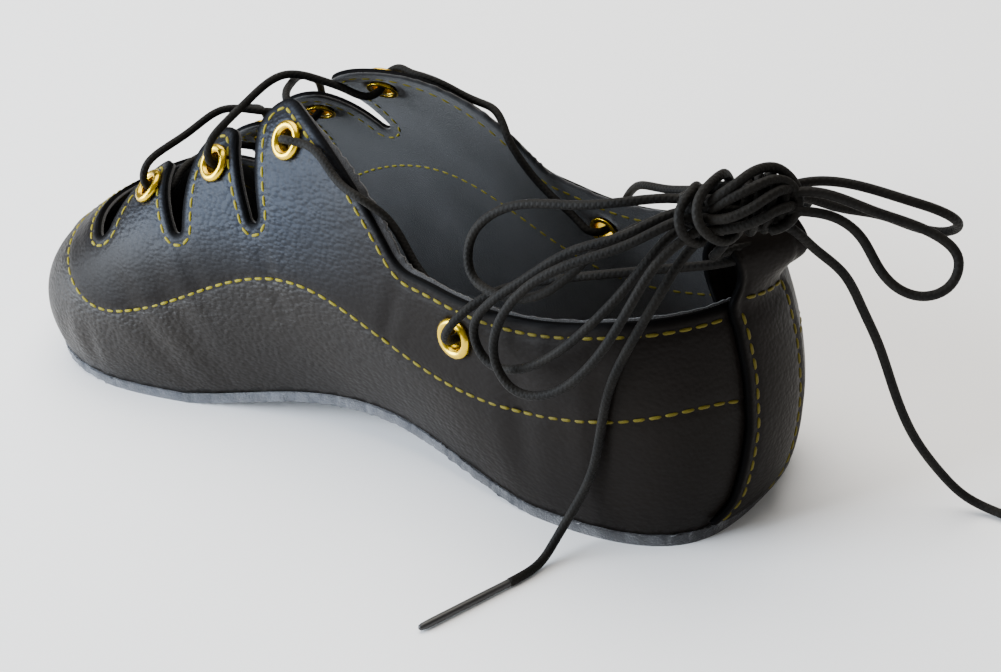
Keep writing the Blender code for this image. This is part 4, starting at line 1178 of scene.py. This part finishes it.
# Turns heaped on the outer side: along at the top and at the bottom, half height, half depth, lift
HEAP_POINTS = 10
HEAP_TURNS = {"inner": (1.4, -0.6, 5.0, 4.6, 0.0), "second": (3.6, 2.0, 5.4, 4.7, 0.6),
              "third": (6.0, 4.6, 5.2, 4.5, 0.8), "outer": (8.4, 7.0, 4.3, 3.8, 0.8)}
# Strands of the bow that the wraps hold together: up, out to the back at the knot's middle
HELD_STRANDS = ((-3.6, 1.6), (-2.0, 3.0), (0.2, 3.4), (2.2, 2.8), (3.8, 1.2), (3.6, -1.4), (1.8, -3.0),
                (-0.4, -3.4), (-2.4, -2.8), (-3.8, -0.8), (-1.2, 0.2), (1.2, -0.2))
# The bundle's run along the knot and how far it is drawn together there
BUNDLE = ((-10.5, 0.5), (-8, 0.8), (-4, 1), (0, 1), (4, 1), (7.5, 0.85), (10, 0.5))


def heap_turn(top, bottom, height, depth, lift):
    """Closed turn round the bundle."""
    angles = np.linspace(0, 2 * math.pi, HEAP_POINTS, endpoint=False)
    return np.stack([(top + bottom) / 2 + (top - bottom) / 2 * np.cos(angles), lift + height * np.cos(angles),
                     depth * np.sin(angles)], -1)


def knot_tube(route, closed):
    """Cord along a route of the knot."""
    route = KNOT_CENTRE + np.array(route) @ KNOT_FRAME
    if not closed:
        return tube(smooth_line(route, KNOT_STEP), LACE_RADIUS)
    steps_round = np.linalg.norm(np.diff(route, axis=0, append=route[:1]), axis=1)
    whole = steps_round.sum()
    at = np.linspace(0, whole, round(whole / KNOT_STEP), endpoint=False)
    return tube(spline(np.cumsum(steps_round) - steps_round, route, whole)(at), LACE_RADIUS, closed=True)


knot_rings = [*KNOT_WRAPS.values(), *(heap_turn(*turn) for turn in HEAP_TURNS.values())]
knot_runs = [*KNOT_STRANDS.values(), *([(along, up * drawn_in, out * drawn_in) for along, drawn_in in BUNDLE]
                                       for up, out in HELD_STRANDS)]
knot_tubes = [knot_tube(route, closed=True) for route in knot_rings]
knot_tubes += [knot_tube(route, closed=False) for route in knot_runs]
knot = make_cords("cord_knot", knot_tubes, cord)
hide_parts("lace_knot")

# Bow: loops of the same cord, three laid over the inner side of the collar and two that stand out behind the
# heel, each from the knot and back into it.
KNOT_REACH = 5.0
# Routes from the knot's skin and back to it: x, y, z
LOOPS = {
    "lace_loop_inner_high": ((18, 11, 74.5), (25.5, 16.5, 75), (35.5, 20, 74), (46.5, 22, 73),
                             (54.5, 24, 69.5), (59, 26, 63), (58, 27.5, 57.5), (53, 28.5, 55.5),
                             (44.5, 28, 55.5), (37.5, 26.5, 59), (30.5, 23, 65.5), (24, 18, 70),
                             (16.5, 12, 72)),
    "lace_loop_inner_mid": ((16, 14.5, 73.5), (22.5, 21, 71), (32.5, 25.5, 67.5), (42.5, 29.5, 61),
                            (50.5, 32, 55), (55, 33, 47), (52, 33.5, 42), (45, 33.5, 42), (37, 32, 46),
                            (29, 29.5, 53), (22.5, 25, 60.5), (18, 20.5, 67), (14.5, 15, 71)),
    "lace_loop_inner_low": ((13.5, 16.5, 73.5), (20.5, 23.5, 70.5), (30, 28.5, 67), (40.5, 33, 60.5),
                            (46, 35.5, 52.5), (47, 36.5, 45), (43, 37, 40), (36, 36, 40), (28, 33.5, 45.5),
                            (22.5, 30.5, 53), (18.5, 26.5, 61), (15.5, 22, 67), (12, 17, 70.5)),
    "lace_loop_outer_high": ((-0.5, -2, 75), (-5.5, -6.5, 74.3), (-17.4, -12.4, 69.9), (-22.2, -15.7, 67),
                             (-24, -18.3, 64.2), (-22.6, -20.8, 61), (-18.8, -21.6, 59.2), (-14.8, -20.3, 60),
                             (-9.6, -16.8, 63.2), (-3.2, -10.5, 66.8), (0.8, -5, 70.5)),
    "lace_loop_outer_low": ((-3, 3.5, 72.5), (-8.5, -1, 70), (-12.5, -3, 65.8), (-15.5, -3.2, 60.5),
                            (-19, -3.8, 56.3), (-23.5, -5.8, 54.4), (-27.2, -8.8, 56), (-27.6, -11.3, 60.5),
                            (-23.5, -10.4, 65), (-14, -5, 70.6), (-3.5, 1.5, 75.5)),
}


def into_knot(route):
    """A route with its first point carried on a little way into the knot."""
    route = np.asarray(route, float)
    return np.concatenate([[route[0] + unit(KNOT_CENTRE - route[0]) * KNOT_REACH], route])


def lay_cord(name, route):
    """A free length of the cord along a route, in place of the imported piece."""
    line = smooth_line(route, LACE_STEP)
    made = make_cords(name.replace("lace", "cord"), [tube(line, LACE_RADIUS)], cord)
    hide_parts(name)


for loop_name, loop_route in LOOPS.items():
    lay_cord(loop_name, into_knot(into_knot(loop_route)[::-1]))

# Ends: the lace's two free ends, each closed by a long black tip rolled round it. The inner end falls over
# the collar and down the quarter to the floor, and the outer end falls clear behind the heel.
AGLET_RADIUS = 0.85
AGLET_LENGTH = 22.0
AGLET_SIDES = 20
AGLET_OVERLAP = 0.6
# Tip from its mouth to its nose: share of the length, share of the radius
AGLET_SECTION = ((0, 0.80), (0.016, 0.93), (0.048, 1.0), (0.08, 0.97), (0.32, 1.0), (0.64, 0.98),
                 (0.88, 0.97), (0.96, 0.90), (0.988, 0.70), (1, 0.30))
TIP_BLACK = {"dark": (0.005, 0.005, 0.005), "pale": (0.014, 0.013, 0.012)}
# Routes from the knot to the tip: x, y, z
ENDS = {
    "lace_end_inner": ((13.5, 13.5, 66.5), (17, 19.6, 59.5), (21.5, 24.8, 50), (26, 28.1, 39.5),
                       (28.5, 29.6, 29.5), (31.5, 30.7, 19), (36, 33.0, 9.5), (38.3, 37.2, 3.8),
                       (38.9, 41.6, 1.4), (39.6, 45.6, 1.05), (40.9, 49.6, 1)),
    "lace_end_outer": ((-1, 3, 68.5), (-4, -0.5, 63), (-7.5, -4.5, 56.5), (-10, -7, 48), (-12.5, -8, 40.5),
                       (-15, -8.5, 31.5), (-18.5, -10, 19.5), (-23, -13, 9.5), (-28, -15.5, 3),
                       (-35.5, -16, 1.1), (-43, -15, 1.05), (-50, -14, 1)),
}
tip_finish, tree, shader = finish_of("black_tip", Specular_IOR_Level=0.5)
smear = noise(tree, place_in(tree), scale=700.0, detail=3.0)
link_in(tree, shader, Base_Color=blend_colours(tree, smear, TIP_BLACK["dark"], TIP_BLACK["pale"]),
        Roughness=spread(tree, smear, start=0.0, end=1.0, low=0.30, high=0.55))


def make_aglet(name, start, way):
    """Rolled tip pressed round the cord's end, drawn in a little at its mouth and its nose."""
    side = unit(np.cross(way, (0, 0, 1)))
    angles = np.linspace(0, 2 * math.pi, AGLET_SIDES, endpoint=False)
    spokes = np.outer(np.cos(angles), side) + np.outer(np.sin(angles), np.cross(side, way))
    points = np.concatenate([start + way * share * AGLET_LENGTH + spokes * width * AGLET_RADIUS
                             for share, width in AGLET_SECTION])
    rings = np.arange(len(points)).reshape(-1, AGLET_SIDES)
    nexts = np.roll(rings, -1, axis=1)
    faces = np.stack([rings[:-1], nexts[:-1], nexts[1:], rings[1:]], -1).reshape(-1, 4).tolist()
    faces += [rings[0].tolist(), rings[-1].tolist()]
    made = make_piece(name.replace("aglet", "cord_tip"), points, faces, [tip_finish])
    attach(made, "root")
    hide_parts(name)
    return made


for end_name, end_route in ENDS.items():
    end_line = smooth_line(end_route, LACE_STEP)
    tip_way = unit((end_line[-1] - end_line[-2]) * [1, 1, 0])
    aglet = make_aglet(end_name.replace("lace_end", "aglet"), end_line[-1] - tip_way * AGLET_OVERLAP, tip_way)
    lay_cord(end_name, into_knot(end_route))

# Floor, light and camera: a pale floor under soft studio light, seen from behind the heel on the inner side,
# a little above it and slightly rolled.
FLOOR_HALF = 4.0
FLOOR_PALE = (0.93, 0.93, 0.93, 1)
floor_finish = finish_of("pale_floor", Base_Color=FLOOR_PALE, Roughness=0.9)[0]
floor_mesh = bpy.data.meshes.new("floor")
floor_mesh.from_pydata([(x * FLOOR_HALF, y * FLOOR_HALF, 0) for x, y in ((-1, -1), (1, -1), (1, 1), (-1, 1))],
                       [], [(0, 1, 2, 3)])
floor_mesh.materials.append(floor_finish)
floor = show("floor", floor_mesh)

FOCAL_PIXELS = 1604.0
IMAGE_WIDTH = 1001.0
SENSOR_MM = 36.0
CAMERA_TARGET = np.array((82.9, -3.9, 19.4))
CAMERA_DISTANCE = 376.0
CAMERA_AZIMUTH = math.radians(223.6)
CAMERA_ELEVATION = math.radians(30.0)
CAMERA_ROLL = math.radians(-9.5)
back = np.array((math.sin(CAMERA_AZIMUTH) * math.cos(CAMERA_ELEVATION),
                 -math.cos(CAMERA_AZIMUTH) * math.cos(CAMERA_ELEVATION), math.sin(CAMERA_ELEVATION)))
level = unit(np.cross((0, 0, 1), back))
upright = np.cross(back, level)
right_way = level * math.cos(CAMERA_ROLL) + upright * math.sin(CAMERA_ROLL)
up_way = upright * math.cos(CAMERA_ROLL) - level * math.sin(CAMERA_ROLL)
stand = (CAMERA_TARGET + back * CAMERA_DISTANCE - CENTRE) * MM
camera_data = bpy.data.cameras.new("camera")
camera_data.sensor_width = SENSOR_MM
camera_data.lens = SENSOR_MM * FOCAL_PIXELS / IMAGE_WIDTH
camera_data.clip_start = 0.01
camera = show("camera", camera_data)
camera.matrix_world = Matrix.Translation(stand) @ Matrix((right_way, up_way, back)).transposed().to_4x4()
bpy.context.scene.camera = camera

# Soft boxes: place in metres, size, power in watts, colour
SOFT_BOXES = {
    "window": ((0.88, 0.88, 0.42), 0.9, 60.0, (0.80, 0.89, 1.0)),
    "overhead": ((0.25, -0.30, 1.2), 1.4, 34.0, (1.0, 0.96, 0.90)),
}
for light_name, (spot, width, power, tone) in SOFT_BOXES.items():
    light = bpy.data.lights.new(light_name, "AREA")
    light.size = width
    light.energy = power
    light.color = tone
    lamp = show(light_name, light)
    lamp.location = spot
    lamp.rotation_euler = (-Vector(spot)).to_track_quat("-Z", "Y").to_euler()
ROOM_TONE = (1.0, 0.98, 0.95, 1)
ROOM_LIGHT = 0.30
world = bpy.data.worlds.new("studio")
world.use_nodes = True
room = world.node_tree.nodes["Background"].inputs
room["Color"].default_value = ROOM_TONE
room["Strength"].default_value = ROOM_LIGHT
bpy.context.scene.world = world
